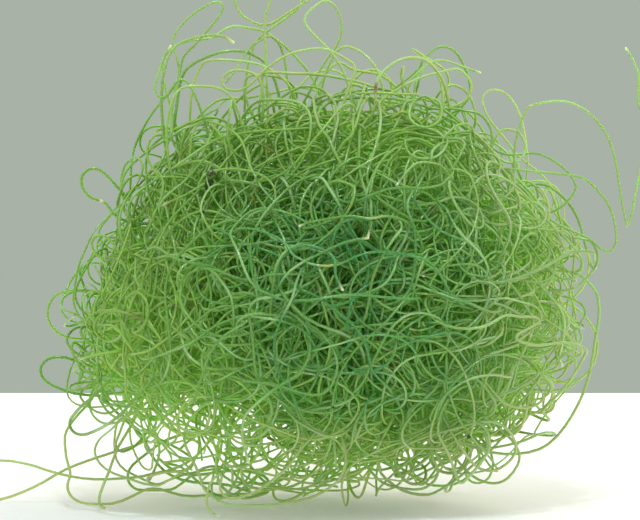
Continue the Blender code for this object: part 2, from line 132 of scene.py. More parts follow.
# Points along each filament that can be followed, with the depths of its two ends in millimetres.
TOP_FILAMENTS = {
    "low_ring_at_crown": (10, 14, (
        (356, 108), (352, 90), (358, 74), (374, 68), (390, 78), (392, 96), (382, 112),
    )),
    "tall_loop_upper_left": (-5, 2, (
        (180, 155), (173, 140), (172, 120), (174, 100), (178, 85), (180, 70), (177, 57), (173, 45),
        (175, 35), (185, 22), (200, 10), (217, 2), (224, 6), (220, 16), (205, 34), (192, 48), (183, 56),
    )),
    "hook_upper_left": (-9, -8, (
        (172, 48), (165, 60), (160, 75), (156, 88), (158, 97), (164, 100), (170, 95), (176, 85),
        (184, 80), (194, 92), (203, 115), (210, 140), (214, 170),
    )),
    "high_arc_upper_left": (3, 6, (
        (174, 125), (178, 95), (185, 70), (210, 55), (235, 50), (255, 55), (268, 66), (278, 90),
        (280, 115),
    )),
    "low_arc_upper_left": (-3, -2, (
        (190, 115), (194, 85), (205, 63), (230, 61), (262, 66), (288, 84), (300, 110),
    )),
    "short_arc_upper_left": (-12, -10, (
        (172, 172), (168, 138), (172, 108), (182, 90), (200, 88), (220, 90), (235, 103), (243, 128),
        (248, 156),
    )),
    "pink_tipped_filament": (-2, -6, (
        (172, 176), (165, 140), (162, 100), (166, 66), (178, 46), (205, 37), (225, 38), (234, 44),
    )),
    "oval_loop_top": (-6, -12, (
        (262, 122), (264, 95), (258, 78), (245, 72), (232, 72), (224, 78), (222, 85), (228, 91),
        (240, 92), (250, 87), (265, 72), (285, 58), (305, 52), (325, 51), (340, 58), (355, 68),
        (352, 80), (345, 100),
    )),
    "double_loop_at_crown": (-1, 8, (
        (268, 118), (266, 60), (265, 20), (271, 0), (266, -9), (250, -13), (238, -8), (235, 2),
        (241, 15), (255, 23), (268, 25), (285, 15), (300, 5), (312, -2), (319, -9), (314, -15),
        (306, -8), (298, 8), (282, 20), (264, 33), (252, 48), (246, 75), (244, 120),
    )),
    "narrow_loop_at_crown": (-8, 0, (
        (352, 104), (344, 74), (328, 50), (315, 38), (304, 23), (310, 12), (325, 2), (335, 8),
        (341, 20), (341, 35), (336, 48), (325, 62), (315, 82), (305, 100), (292, 125),
    )),
    "arc_at_crown": (4, -2, (
        (318, 108), (326, 72), (340, 48), (355, 49), (368, 58), (378, 72), (384, 94),
    )),
    "ring_upper_right": (-11, -4, (
        (401, 112), (392, 120), (384, 116), (377, 105), (375, 89), (378, 79), (387, 69), (400, 61),
        (412, 59), (424, 61), (434, 69), (443, 83), (447, 99), (451, 122), (454, 139),
    )),
    "pointed_filament_upper_right": (-2, 1, (
        (402, 105), (412, 80), (430, 63), (445, 61), (460, 66), (480, 73),
    )),
    "small_arch_upper_right": (4, 7, (
        (414, 100), (417, 76), (425, 58), (440, 46), (455, 50), (463, 62), (470, 80), (470, 96),
        (458, 112),
    )),
    "coil_upper_right": (-7, -9, (
        (484, 190), (487, 170), (490, 155), (491, 143), (497, 133), (507, 130), (518, 134),
        (524, 145), (521, 158), (511, 164), (500, 161), (491, 152), (480, 140), (470, 132),
    )),
}
SIDE_FILAMENTS = {
    "long_filament_far_right": (-9, -1, (
        (513, 172), (513, 150), (517, 130), (525, 110), (528, 107), (545, 103), (560, 102),
        (575, 106), (590, 116), (603, 132), (612, 153), (617, 180), (621, 205), (625, 223),
        (626, 228), (630, 218), (634, 195), (640, 165), (645, 140), (641, 115), (636, 97),
        (638, 78), (632, 60), (625, 49),
    )),
    "shoulder_filament_right": (-12, -4, (
        (482, 200), (480, 178), (490, 169), (530, 172), (560, 175), (580, 178), (595, 190),
        (605, 202), (611, 215), (615, 235), (613, 248), (607, 252), (597, 247), (588, 238),
    )),
    "side_loop_right": (-6, -3, (
        (556, 290), (568, 290), (579, 285), (588, 275), (596, 264), (596, 251), (590, 241),
        (578, 238),
    )),
    "hanging_filament_right": (-2, -4, (
        (582, 276), (596, 292), (599, 313), (594, 345), (590, 370), (580, 400), (562, 430),
        (542, 448), (515, 454), (490, 452), (475, 446),
    )),
    "side_loop_upper_left": (-4, -3, (
        (112, 212), (106, 202), (93, 199), (84, 190), (82, 178), (88, 170), (98, 169), (108, 176),
        (120, 190),
    )),
    "side_loop_left": (-10, -9, (
        (132, 266), (119, 249), (113, 242), (107, 236), (101, 235), (95, 238), (93, 245), (97, 254),
        (104, 259), (113, 256), (128, 250),
    )),
    "side_loop_low_left": (-2, 0, (
        (100, 396), (76, 394), (58, 388), (44, 380), (40, 368), (50, 358), (68, 358), (86, 366),
    )),
}
LOW_FILAMENTS = {
    "low_loop_right": (-8, -6, (
        (490, 420), (509, 437), (517, 448), (519, 459), (513, 471), (504, 480), (493, 483),
        (480, 480), (470, 474), (458, 462),
    )),
    "low_bend_middle": (-14, -16, (
        (358, 448), (366, 464), (381, 480), (400, 486), (420, 487), (432, 480), (437, 470), (432, 456),
    )),
    "standing_filament_left": (-6, -9, (
        (118, 446), (110, 470), (105, 482), (100, 496), (101, 506), (108, 512),
    )),
    "creeping_loop_left": (-2, -4, (
        (80, 412), (66, 431), (65, 447), (67, 462), (71, 474), (67, 484), (69, 494), (77, 501),
        (88, 504), (104, 505), (122, 501), (140, 492),
    )),
    "far_loop_left": (2, 1, (
        (136, 446), (100, 457), (65, 470), (35, 487), (2, 500), (-14, 499), (-22, 484), (-15, 468),
        (0, 461), (28, 465), (56, 474), (92, 480), (140, 478),
    )),
}
LOW_FRONT_FILAMENTS = {
    "inner_low_loop_right": (-14, -15, (
        (508, 430), (514, 442), (513, 452), (507, 460), (497, 467), (486, 469), (474, 464),
        (464, 452),
    )),
    "kinked_filament_low_right": (-16, -18, (
        (444, 446), (450, 460), (455, 474), (459, 482), (465, 476), (478, 462), (488, 446),
    )),
    "brown_tipped_filament": (-26, -28, (
        (268, 392), (254, 404), (246, 413), (244, 426), (244, 437), (247, 446), (250, 458),
    )),
    "kinked_loop_low_left": (-22, -22, (
        (220, 512), (211, 507), (208, 497), (210, 484), (216, 474), (225, 470), (221, 482),
        (224, 491), (233, 495), (245, 493), (260, 486), (274, 476), (290, 462),
    )),
    "creeping_filament_front": (-20, -21, (
        (205, 486), (225, 500), (258, 502), (290, 499), (316, 492), (338, 478),
    )),
    "low_loop_left": (-8, -10, (
        (84, 404), (71, 420), (74, 431), (84, 434), (98, 429), (112, 421), (127, 409), (138, 396),
    )),
    "hanging_loop_left": (-12, -10, (
        (128, 414), (113, 428), (101, 438), (96, 449), (99, 459), (106, 467), (117, 473),
        (130, 477), (144, 482), (160, 484),
    )),
}
BACK_FILAMENTS = {
    "back_arc_at_crown": (12, 18, (
        (286, 122), (292, 96), (310, 74), (335, 68), (352, 84), (360, 110),
    )),
    "back_loop_left": (12, 16, (
        (110, 300), (80, 290), (52, 296), (44, 318), (58, 336), (84, 340), (104, 334),
    )),
    "back_loop_right": (14, 10, (
        (560, 300), (584, 312), (600, 338), (596, 366), (576, 384), (552, 380),
    )),
    "back_bend_low": (14, 18, (
        (400, 470), (430, 488), (462, 486), (482, 466), (478, 446),
    )),
    "back_loop_low_left": (14, 14, (
        (150, 452), (128, 470), (126, 486), (142, 496), (168, 494), (188, 480),
    )),
}
FRONT_FILAMENTS = {
    "cream_tipped_filament": (-24, -24, (
        (300, 227), (309, 223), (323, 221), (338, 218), (355, 218), (369, 220), (382, 217),
        (393, 218), (404, 222),
    )),
    "wavy_filament_front": (-24, -24, (
        (240, 229), (252, 229), (266, 233), (279, 238), (288, 246), (293, 255), (302, 260),
        (312, 264), (325, 266), (338, 264), (350, 259), (361, 254), (375, 252), (389, 252),
        (402, 254), (420, 258),
    )),
    "pale_arc_front": (-24, -24, (
        (367, 238), (355, 240), (343, 243), (332, 248), (320, 254), (309, 260), (297, 266),
        (288, 273), (282, 282),
    )),
    "down_turned_arc_front": (-24, -24, (
        (292, 249), (303, 245), (315, 247), (326, 251), (333, 257), (335, 264), (334, 272),
        (337, 280), (342, 289),
    )),
    "long_sweep_front": (-24, -24, (
        (232, 236), (240, 252), (246, 268), (252, 281), (262, 290), (276, 296), (291, 299),
        (309, 299), (326, 297), (343, 294), (361, 294), (378, 296), (395, 297), (408, 298),
    )),
    "falling_sweep_front": (-24, -24, (
        (304, 290), (318, 296), (330, 304), (343, 315), (355, 326), (363, 338), (368, 356),
    )),
    "kinked_filament_front": (-24, -24, (
        (366, 198), (378, 193), (390, 190), (402, 189), (412, 191), (407, 199), (405, 208),
        (407, 217), (412, 226),
    )),
    "swinging_arc_front": (-24, -24, (
        (250, 316), (252, 305), (259, 298), (269, 296),
    )),
    "rising_filament_front": (-24, -24, (
        (304, 266), (299, 275), (296, 285), (293, 296), (287, 308), (281, 320), (276, 334),
    )),
    "straight_filament_right_front": (-20, -20, (
        (443, 208), (451, 225), (461, 238), (471, 247), (479, 256), (485, 268),
    )),
    "slanting_filament_right_front": (-14, -8, (
        (508, 280), (527, 273), (547, 264), (564, 254), (579, 251), (592, 252),
    )),
    "folded_filament_right_front": (-20, -16, (
        (484, 324), (502, 314), (515, 316), (528, 316), (538, 319), (528, 326), (511, 336),
        (530, 344), (553, 342), (568, 342), (584, 348),
    )),
    "bow_left_front": (-22, -22, (
        (168, 352), (196, 340), (214, 326), (234, 318), (256, 314), (276, 318),
    )),
    "sweep_low_front": (-22, -22, (
        (196, 398), (204, 376), (212, 352), (226, 334), (246, 322),
    )),
}

# Strands of the matted filaments that show one by one, over the crown and on the front.
CROWN_STRANDS = {
    "arch_at_left_shoulder": (-6, -6, (
        (181, 153), (184, 138), (190, 127), (201, 120), (213, 118), (226, 122), (233, 130), (241, 141),
    )),
    "wide_arch": (-5, -5, (
        (250, 118), (258, 116), (270, 107), (282, 98), (295, 90), (307, 87), (321, 90), (330, 99),
        (335, 112), (336, 130),
    )),
    "left_upright": (2, 2, ((246, 76), (244, 90), (246, 99), (250, 110), (254, 118), (262, 130))),
    "second_upright": (5, 3, ((264, 83), (270, 95), (274, 110), (275, 122), (280, 136))),
    "third_upright": (-2, 0, ((262, 73), (262, 92), (259, 110), (262, 128))),
    "far_arch": (3, 10, (
        (178, 134), (170, 104), (162, 76), (164, 54), (176, 45), (190, 40), (213, 37), (223, 29),
        (235, 25), (247, 27), (259, 29), (267, 32), (290, 50), (312, 76), (322, 100),
    )),
    "far_fall": (8, 10, ((270, 34), (278, 41), (283, 52), (285, 61), (288, 84), (300, 112))),
    "far_bow": (9, 12, ((318, 84), (337, 61), (354, 69), (379, 73), (398, 88), (404, 116))),
    "crossing_upright": (0, -2, ((291, 92), (288, 107), (284, 122), (286, 140))),
    "steep_strand": (3, 1, ((306, 99), (305, 116), (312, 134))),
    "leaning_strand": (-3, -4, ((313, 98), (316, 116), (319, 127), (330, 142))),
    "falling_strand": (-6, -7, ((328, 95), (334, 107), (337, 122), (334, 138))),
    "long_fall": (-3, -6, ((365, 86), (360, 104), (354, 122), (351, 138), (344, 143))),
    "short_fall": (1, 1, ((353, 92), (358, 108), (356, 124), (362, 138))),
    "narrow_arch": (-1, -1, (
        (352, 132), (359, 112), (368, 98), (377, 104), (380, 120), (378, 136),
    )),
    "back_arch": (6, 6, (
        (330, 122), (340, 96), (350, 84), (364, 88), (371, 104), (372, 124),
    )),
    "hook_at_right": (-3, -3, ((458, 69), (467, 77), (471, 86), (469, 96), (461, 104), (448, 108))),
    "round_bend_right": (-6, -8, (
        (450, 109), (467, 112), (479, 115), (487, 124), (492, 136), (490, 147), (481, 149),
    )),
    "lower_bend_right": (-8, -8, ((459, 139), (470, 145), (482, 152), (494, 166))),
    "bright_bend": (-14, -14, ((429, 162), (430, 153), (440, 145), (452, 142), (459, 144))),
    "hanging_bend": (-14, -14, (
        (404, 142), (404, 150), (410, 158), (421, 161), (432, 159), (441, 153), (446, 142),
    )),
    "pink_ended_arch": (-18, -16, (
        (395, 187), (404, 175), (412, 166), (421, 163), (430, 164), (440, 168), (447, 176),
    )),
    "leaning_arch": (-16, -14, ((368, 193), (371, 181), (377, 167), (384, 158), (394, 150))),
    "arm_at_right": (-4, -4, ((528, 153), (541, 155), (553, 161), (562, 168), (568, 173), (576, 186))),
    "ring_over_dark_spot": (-8, -7, (
        (424, 96), (412, 104), (408, 118), (416, 128), (430, 128), (440, 118), (438, 104), (428, 98),
    )),
    "upright_at_right": (2, 0, ((404, 66), (402, 86), (408, 104), (410, 124))),
    "second_upright_at_right": (4, 3, ((424, 64), (418, 84), (414, 106), (420, 124))),
    "outer_arch_right": (7, 5, (
        (430, 112), (440, 92), (452, 84), (466, 90), (474, 104), (476, 122), (470, 138),
    )),
}
FRONT_STRANDS = {
    "short_bend": (-24, -24, ((323, 180), (331, 193), (338, 204))),
    "short_hook": (-24, -24, ((339, 182), (354, 189), (352, 202))),
    "short_upright": (-24, -24, ((371, 180), (367, 195))),
    "cream_ended_upright": (-24, -24, ((370, 208), (370, 226), (367, 237))),
    "rising_strand": (-24, -24, ((386, 249), (391, 240), (398, 232))),
    "bright_rise": (-24, -24, ((276, 270), (280, 259), (287, 252))),
    "bright_bow": (-24, -24, ((265, 276), (271, 274), (279, 274))),
    "long_rise": (-24, -24, ((375, 288), (385, 282), (390, 274), (393, 268))),
    "long_bend": (-24, -24, ((320, 270), (325, 281), (331, 295), (332, 304))),
    "slanting_strand": (-24, -24, ((286, 298), (294, 306), (304, 315))),
    "low_bow": (-24, -24, ((240, 319), (247, 314), (256, 313), (266, 314))),
    "hooked_strand": (-24, -24, ((334, 237), (336, 229), (343, 222), (352, 219))),
}

# Where a filament ends in a tip of its own. Its other ends run on into the tangle.
TIP_AT_START = (
    "hook_upper_left", "shoulder_filament_right", "cream_tipped_filament", "pale_arc_front",
    "kinked_loop_low_left", "pink_ended_arch",
)
TIP_AT_END = (
    "pink_tipped_filament", "pointed_filament_upper_right", "long_filament_far_right",
    "standing_filament_left", "brown_tipped_filament", "down_turned_arc_front",
    "cream_ended_upright",
)

# A filament that lies on the clump is moved along Y in small steps until it is this far over the
# matted filaments, but never further than the deepest.
LIES_OVER = 0.0012
DRAWN_STEP = 0.0002
DEEPEST = 0.05
CURVE_PARTS = 20

# How far a filament runs on, how strongly it dives for the clump's middle, and over how many points
# the heading of its end is read.
RUNS_ON = (0.03, 0.08)
DIVES_IN = 0.9
HEADING_OVER = 3

# How a wiry filament bends: the usual radius of its bends, how far one bend holds and the tightest.
SEED = 11
STEP = 0.0005
BEND_RADIUS = 0.0064
BEND_HOLDS = 0.010
TIGHTEST = 0.0019

# How it turns back near the outside of the clump: over what depth, at what radius and how much
# harder at most. All round it first arches out by a height of its own, more at the crown, but on
# the front it turns back at a depth of its own. It is cut where it leaves the clump by too much.
TURNS_BACK_OVER = 0.006
TURNS_BACK_RADIUS = 0.0032
TURNS_BACK_MOST = 1.8
ARCHES_OUT = (0.0, 0.0024)
ARCHES_MORE_AT_CROWN = 3
SINKS_IN = (-0.001, 0.0055)
LEAVES_BY = 0.003

# How it lifts off the floor: below what height, and how much at most.
LIFTS_OVER = 0.003
LIFTS_MOST = 1.5

# From where to where each of these sets in: the open side and the crown by the way out from the
# middle, leaving by how far a filament heads that way, and sinking by how far it heads down.
OPEN_SIDE = (-0.75, -0.15)
CROWN = (0.3, 0.8)
LEAVING = (-0.35, 0.15)
SINKING = (-0.15, 0.1)

# How full the clump is where it is fullest, in millimetres of filament to the cubic millimetre. It
# is counted in cells of this size, to this far outside the solid.
FULLNESS = 0.66
CELL = 0.004
STANDS_OUT = 0.012

# The filaments that are tried, how long they may be, and which stretch of each is kept: one with
# room along most of a run of points, that starts and ends well inside the clump.
CANDIDATES = 4800
FILAMENT_LENGTHS = (0.07, 0.24)
SHORTEST = 0.03
FREE_OVER = 33
FREE_SHARE = 0.55
ENDS_WITHIN = 0.9

# How full the clump is, by how far out from its middle: all round, over its crown and on its front,
# where it ends most plainly. Then by the row and by the column of the photograph.
FULL_ALL_ROUND = ((0.78, 0.92, 1.0, 1.08, 1.25), (1.0, 0.75, 0.4, 0.15, 0.0))
FULL_AT_CROWN = ((0.8, 1.0, 1.12, 1.25, 1.45), (1.0, 0.8, 0.5, 0.25, 0.0))
FULL_IN_FRONT = ((0.97, 1.02), (1.0, 0.0))
FRONT_SETS_IN = (0.3, 0.8)
CROWN_SETS_IN = (0.2, 0.7)
FULL_BY_ROW = ((45, 75, 105, 135), (0.04, 0.11, 0.3, 1.0))
FULL_LOW_LEFT = ((345, 385, 415, 450, 500), (1.0, 0.55, 0.26, 0.15, 0.08))
FULL_LOW_RIGHT = ((405, 440, 462, 490), (1.0, 0.7, 0.3, 0.06))
LEFT_TO_RIGHT = (250, 320)
FULL_BY_COLUMN = ((50, 100, 160), (0.5, 0.85, 1.0))

# Two places are thinner still: by what share, towards which column and by which row.
THINNER_LOW_RIGHT = 0.4
LOW_RIGHT_COLUMN = (430, 560)
LOW_RIGHT_ROW = (230, 400)
THINNER_UPPER_RIGHT = 0.85
UPPER_RIGHT_COLUMN = (440, 530)
UPPER_RIGHT_ROW = (165, 235)

# How the filaments are moved apart: in how many rounds, from how near and by how much, and over how
# many points a push is spread. Points that follow each other along one filament don't push.
PART_STEP = 0.00045
PART_ROUNDS = 20
TOUCHING = 0.0005
PARTED_BY = 1.08
PUSHED_ON = 1.7
SPREAD_OVER = 7
FOLLOW_EACH_OTHER = 8
KEEPS_ITS_PLACE = 0.15
OFF_THE_FLOOR = 0.00002
TINY = 1e-6


def height_over_solid(point):
    """How far a point is outside the matted filaments' solid."""
    away = point - MIDDLE
    return away.length - reach(away.normalized())


def drawn_out(column, row, depth):
    """The place of a pixel, moved along Y until it lies over the matted filaments."""
    step = math.copysign(DRAWN_STEP, depth)
    point = from_pixel(column, row, depth)
    while height_over_solid(point) < LIES_OVER and abs(depth) < DEEPEST:
        depth += step
        point = from_pixel(column, row, depth)
    return point


def evenly(points, step):
    """The same line with points at an even step, in three steps at least."""
    lengths = np.linalg.norm(np.diff(points, axis=0), axis=1)
    travelled = np.concatenate(([0.0], np.cumsum(lengths)))
    count = max(3, round(travelled[-1] / step))
    even = np.linspace(0, travelled[-1], count + 1)
    return np.stack([np.interp(even, travelled, points[:, axis]) for axis in range(3)], axis=1)


def smooth_curve(points, step):
    """Points at an even step along a curve through the given ones."""
    padded = [points[0] * 2 - points[1], *points, points[-1] * 2 - points[-2]]
    fine = []
    for before, start, end, after in zip(padded, padded[1:], padded[2:], padded[3:]):
        for part in np.linspace(0, 1, CURVE_PARTS, endpoint=False):
            fine.append(
                0.5 * (
                    2 * start + (end - before) * part
                    + (2 * before - 5 * start + 4 * end - after) * part**2
                    + (3 * start - before - 3 * end + after) * part**3
                )
            )
    fine.append(points[-1])
    return evenly(np.array(fine), step)


class Reaches:
    """The solid's reach in every direction, read from a table of azimuths and elevations."""

    def __init__(self, step_degrees):
        self.step = math.radians(step_degrees)
        self.rows = round(math.pi / self.step)
        self.columns = 2 * self.rows
        self.table = np.empty((self.rows + 1, self.columns + 1))
        for row in range(self.rows + 1):
            up = row * self.step - math.pi / 2
            for column in range(self.columns + 1):
                turn = column * self.step - math.pi
                direction = (math.cos(up) * math.cos(turn), math.cos(up) * math.sin(turn), math.sin(up))
                self.table[row, column] = reach(Vector(direction))

    def __call__(self, directions):
        row = (np.arcsin(np.clip(directions[:, 2], -1, 1)) + math.pi / 2) / self.step
        column = (np.arctan2(directions[:, 1], directions[:, 0]) + math.pi) / self.step
        low_row = np.minimum(row.astype(int), self.rows - 1)
        low_column = np.minimum(column.astype(int), self.columns - 1)
        up, over = row - low_row, column - low_column
        corners = self.table
        return (
            corners[low_row, low_column] * (1 - up) * (1 - over)
            + corners[low_row, low_column + 1] * (1 - up) * over
            + corners[low_row + 1, low_column] * up * (1 - over)
            + corners[low_row + 1, low_column + 1] * up * over
        )


reaches = Reaches(step_degrees=3)
CENTRE = np.array(MIDDLE)


def outwards(points):
    """The distance and direction of each point from the clump's middle."""
    away = points - CENTRE
    distance = np.maximum(np.linalg.norm(away, axis=1), TINY)
    return distance, away / distance[:, None]


def smoothstep(value, low, high):
    """From 0 at the low value to 1 at the high one, with a soft start and end."""
    part = np.clip((value - low) / (high - low), 0, 1)
    return part * part * (3 - 2 * part)


def unit(vectors):
    """The vectors at length 1."""
    return vectors / np.maximum(np.linalg.norm(vectors, axis=1), TINY)[:, None]


def more_at_crown(outward):
    """How many times further a filament stands out, by the way out from the clump's middle."""
    return 1 + ARCHES_MORE_AT_CROWN * smoothstep(outward[:, 2], *CROWN)


def wander(starts, headings, steps, arch_out, sink_in, rng):
    """Lines of even steps that bend at random, and turn back near the outside and the floor."""
    count = len(starts)
    place, heading = starts.copy(), unit(headings)
    bend = rng.normal(size=(count, 3)) / BEND_RADIUS / 2
    line = np.empty((steps + 1, count, 3))
    line[0] = place
    held = math.exp(-STEP / BEND_HOLDS)
    fresh = math.sqrt(1 - held * held) / BEND_RADIUS
    for index in range(steps):
        bend = bend * held + rng.normal(size=(count, 3)) * fresh
        distance, outward = outwards(place)
        open_side = smoothstep(outward[:, 1], *OPEN_SIDE)
        arch = arch_out * open_side * more_at_crown(outward)
        over = distance - reaches(outward) - arch + sink_in * (1 - open_side)
        back = np.clip(1 + over / TURNS_BACK_OVER, 0, TURNS_BACK_MOST) / TURNS_BACK_RADIUS
        leaving = smoothstep((heading * outward).sum(axis=1), *LEAVING)
        force = bend - outward * (back * leaving)[:, None]
        sinking = smoothstep(-heading[:, 2], *SINKING)
        force[:, 2] += np.clip(1 - place[:, 2] / LIFTS_OVER, 0, LIFTS_MOST) * sinking / TIGHTEST
        force -= heading * (force * heading).sum(axis=1)[:, None]
        strength = np.linalg.norm(force, axis=1)
        force *= np.minimum(1, 1 / TIGHTEST / np.maximum(strength, TINY))[:, None]
        heading = unit(heading + force * STEP)
        place = place + heading * STEP
        place[:, 2] = np.maximum(place[:, 2], FILAMENT_DIAMETER / 2)
        bend -= heading * (bend * heading).sum(axis=1)[:, None]
        line[index + 1] = place
    return line.transpose(1, 0, 2)


def wanted(points):
    """How full the clump is at each point, from 0 to 1. It thins out to its edge and its foot."""
    distance, outward = outwards(points)
    share = distance / reaches(outward)
    column, row = column_and_row(points)
    front = smoothstep(-outward[:, 1], *FRONT_SETS_IN)
    crown = smoothstep(outward[:, 2], *CROWN_SETS_IN)
    full = np.interp(share, *FULL_ALL_ROUND) * (1 - crown) + np.interp(share, *FULL_AT_CROWN) * crown
    full = full * (1 - front) + np.interp(share, *FULL_IN_FRONT) * front
    full *= np.interp(row, *FULL_BY_ROW) * np.interp(column, *FULL_BY_COLUMN)
    right = smoothstep(column, *LEFT_TO_RIGHT)
    full *= np.interp(row, *FULL_LOW_LEFT) * (1 - right) + np.interp(row, *FULL_LOW_RIGHT) * right
    far_right, low = smoothstep(column, *LOW_RIGHT_COLUMN), smoothstep(row, *LOW_RIGHT_ROW)
    full *= 1 - THINNER_LOW_RIGHT * far_right * low
    far_right, high = smoothstep(column, *UPPER_RIGHT_COLUMN), 1 - smoothstep(row, *UPPER_RIGHT_ROW)
    return full * (1 - THINNER_UPPER_RIGHT * far_right * high)


def ends_inside(line):
    """The stretch of a line between the first and the last of its points that lie well inside."""
    distance, outward = outwards(line)
    inside = np.flatnonzero(distance < reaches(outward) * ENDS_WITHIN)
    return (inside[0], inside[-1] + 1) if len(inside) else (0, 0)


def longest_run(fits):
    """The first and the last of the longest run of points that fit."""
    edges = np.flatnonzero(np.diff(np.concatenate(([0], fits.astype(int), [0]))))
    runs = edges.reshape(-1, 2)
    return runs[np.argmax(runs[:, 1] - runs[:, 0])] if len(runs) else (0, 0)


def tangled(rng, standing):
    """The filaments that can't be followed, as many as fill the clump with those that stand."""
    low, high = [np.array(corner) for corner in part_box("matted_filaments")]
    low, high = low - STANDS_OUT, high + STANDS_OUT
    sizes = np.ceil((high - low) / CELL).astype(int)
    middles = np.stack(np.meshgrid(*[np.arange(n) for n in sizes], indexing="ij"), axis=-1)
    middles = low + (middles.reshape(-1, 3) + 0.5) * CELL
    target = wanted(middles) * FULLNESS * (CELL / MILLIMETRE) ** 3 * MILLIMETRE

    def cell_of(points):
        cells = np.clip(((points - low) / CELL).astype(int), 0, sizes - 1)
        return (cells[:, 0] * sizes[1] + cells[:, 1]) * sizes[2] + cells[:, 2]

    held = np.zeros(len(target))
    for route in standing:
        np.add.at(held, cell_of(route), STEP)
    begin = rng.choice(len(target), size=CANDIDATES, p=target / target.sum())
    starts = middles[begin] + rng.uniform(-CELL / 2, CELL / 2, size=(CANDIDATES, 3))
    starts[:, 2] = np.maximum(starts[:, 2], FILAMENT_DIAMETER)
    longest = round(FILAMENT_LENGTHS[1] / STEP)
    arch_out = rng.uniform(*ARCHES_OUT, size=CANDIDATES)
    sink_in = rng.uniform(*SINKS_IN, size=CANDIDATES)
    lines = wander(starts, rng.normal(size=(CANDIDATES, 3)), longest, arch_out, sink_in, rng)
    ends = rng.integers(round(FILAMENT_LENGTHS[0] / STEP), longest, size=CANDIDATES)
    kept = []
    for line, end in zip(lines, ends):
        cells = cell_of(line[:end])
        room = (held[cells] < target[cells]).astype(float)
        distance, outward = outwards(line[:end])
        fits = np.convolve(room, np.ones(FREE_OVER) / FREE_OVER, "same") > FREE_SHARE
        fits &= distance - reaches(outward) < LEAVES_BY * more_at_crown(outward)
        first, last = longest_run(fits)
        head, tail = ends_inside(line[first:last])
        first, last = first + head, first + tail
        if (last - first) * STEP >= SHORTEST:
            kept.append(line[first:last])
            np.add.at(held, cells[first:last], STEP)
    return kept


def close_pairs(points, nearest):
    """The pairs of points that are nearer to each other than a distance."""
    cells = np.floor(points / nearest).astype(np.int64)
    cells -= cells.min(axis=0) - 1
    sizes = cells.max(axis=0) + 2
    key = (cells[:, 0] * sizes[1] + cells[:, 1]) * sizes[2] + cells[:, 2]
    order = np.argsort(key, kind="stable")
    sorted_key = key[order]
    shifts = [
        (i * sizes[1] + j) * sizes[2] + k
        for i in (-1, 0, 1) for j in (-1, 0, 1) for k in (-1, 0, 1)
        if (i, j, k) >= (0, 0, 0)
    ]
    pairs = []
    for shift in shifts:
        low = np.searchsorted(sorted_key, key + shift, "left")
        count = np.searchsorted(sorted_key, key + shift, "right") - low
        first = np.repeat(np.arange(len(points)), count)
        offset = np.arange(count.sum()) - np.repeat(np.cumsum(count) - count, count)
        second = order[np.repeat(low, count) + offset]
        near = np.linalg.norm(points[first] - points[second], axis=1) < nearest
        if shift == 0:
            near &= first < second
        pairs.append(np.stack((first[near], second[near]), axis=1))
    return np.concatenate(pairs)


def moved_apart(routes, gives):
    """The routes, moved until hardly any lies in another. Gives says how easily each one moves."""
    routes = [evenly(route, PART_STEP) for route in routes]
    counts = np.array([len(route) for route in routes])
    points = np.concatenate(routes)
    owner = np.repeat(np.arange(len(routes)), counts)
    along = np.arange(len(points))
    give = np.repeat(gives, counts)
    share = np.hanning(SPREAD_OVER + 2)[1:-1]
    share /= share.sum()
    for _ in range(PART_ROUNDS):
        first, second = close_pairs(points, TOUCHING).T
        follow = np.abs(along[first] - along[second]) < FOLLOW_EACH_OTHER
        apart = ~((owner[first] == owner[second]) & follow)
        first, second = first[apart], second[apart]
        away = points[first] - points[second]
        distance = np.maximum(np.linalg.norm(away, axis=1), TINY)
        push = away * ((TOUCHING * PARTED_BY - distance) / distance)[:, None]
        total = give[first] + give[second]
        moves = np.zeros_like(points)
        hits = np.zeros(len(points))
        for index, side in ((first, 1), (second, -1)):
            np.add.at(moves, index, side * push * (give[index] / total)[:, None])
            np.add.at(hits, index, 1)
        moves /= np.maximum(hits, 1)[:, None]
        spread = np.stack([np.convolve(moves[:, axis], share, "same") for axis in range(3)], axis=1)
        points = points + spread * PUSHED_ON
        points[:, 2] = np.maximum(points[:, 2], FILAMENT_DIAMETER / 2 + OFF_THE_FLOOR)
    return np.split(points, np.cumsum(counts)[:-1])


def followed_routes():
    """The routes that the photograph shows, by name."""
    springing = {**TOP_FILAMENTS, **SIDE_FILAMENTS, **LOW_FILAMENTS}
    lying = {
        **FRONT_FILAMENTS, **LOW_FRONT_FILAMENTS, **BACK_FILAMENTS, **CROWN_STRANDS, **FRONT_STRANDS,
    }
    routes = {}
    for name, (first_depth, last_depth, pixels) in (*springing.items(), *lying.items()):
        depths = np.linspace(first_depth, last_depth, len(pixels)) * MILLIMETRE
        place = drawn_out if name in lying else from_pixel
        routes[name] = smooth_curve([place(*p, d) for p, d in zip(pixels, depths)], STEP)
        routes[name][:, 2] = np.maximum(routes[name][:, 2], FILAMENT_DIAMETER)
    return routes


def run_on(routes, rng):
    """The same routes, carried on into the tangle wherever they don't end in a tip."""
    ends = [(name, False) for name in routes if name not in TIP_AT_START]
    ends += [(name, True) for name in routes if name not in TIP_AT_END]
    leading = [routes[name] if last else routes[name][::-1] for name, last in ends]
    starts = np.array([route[-1] for route in leading])
    # They dive into the clump rather than lie along its outside.
    headings = unit(np.array([route[-1] - route[-1 - HEADING_OVER] for route in leading]))
    headings += unit(CENTRE - starts) * DIVES_IN
    shortest, longest = [round(length / STEP) for length in RUNS_ON]
    level, deep = np.zeros(len(starts)), np.full(len(starts), SINKS_IN[1])
    lines = wander(starts, headings, longest, level, deep, rng)
    lengths = rng.integers(shortest, longest, size=len(starts))
    longer = dict(routes)
    for (name, last), line, length in zip(ends, lines, lengths):
        length = max(ends_inside(line[:length])[1], shortest // 2)
        added = line[1:length]
        longer[name] = np.concatenate(
            (longer[name], added) if last else (added[::-1], longer[name])
        )
    return longer


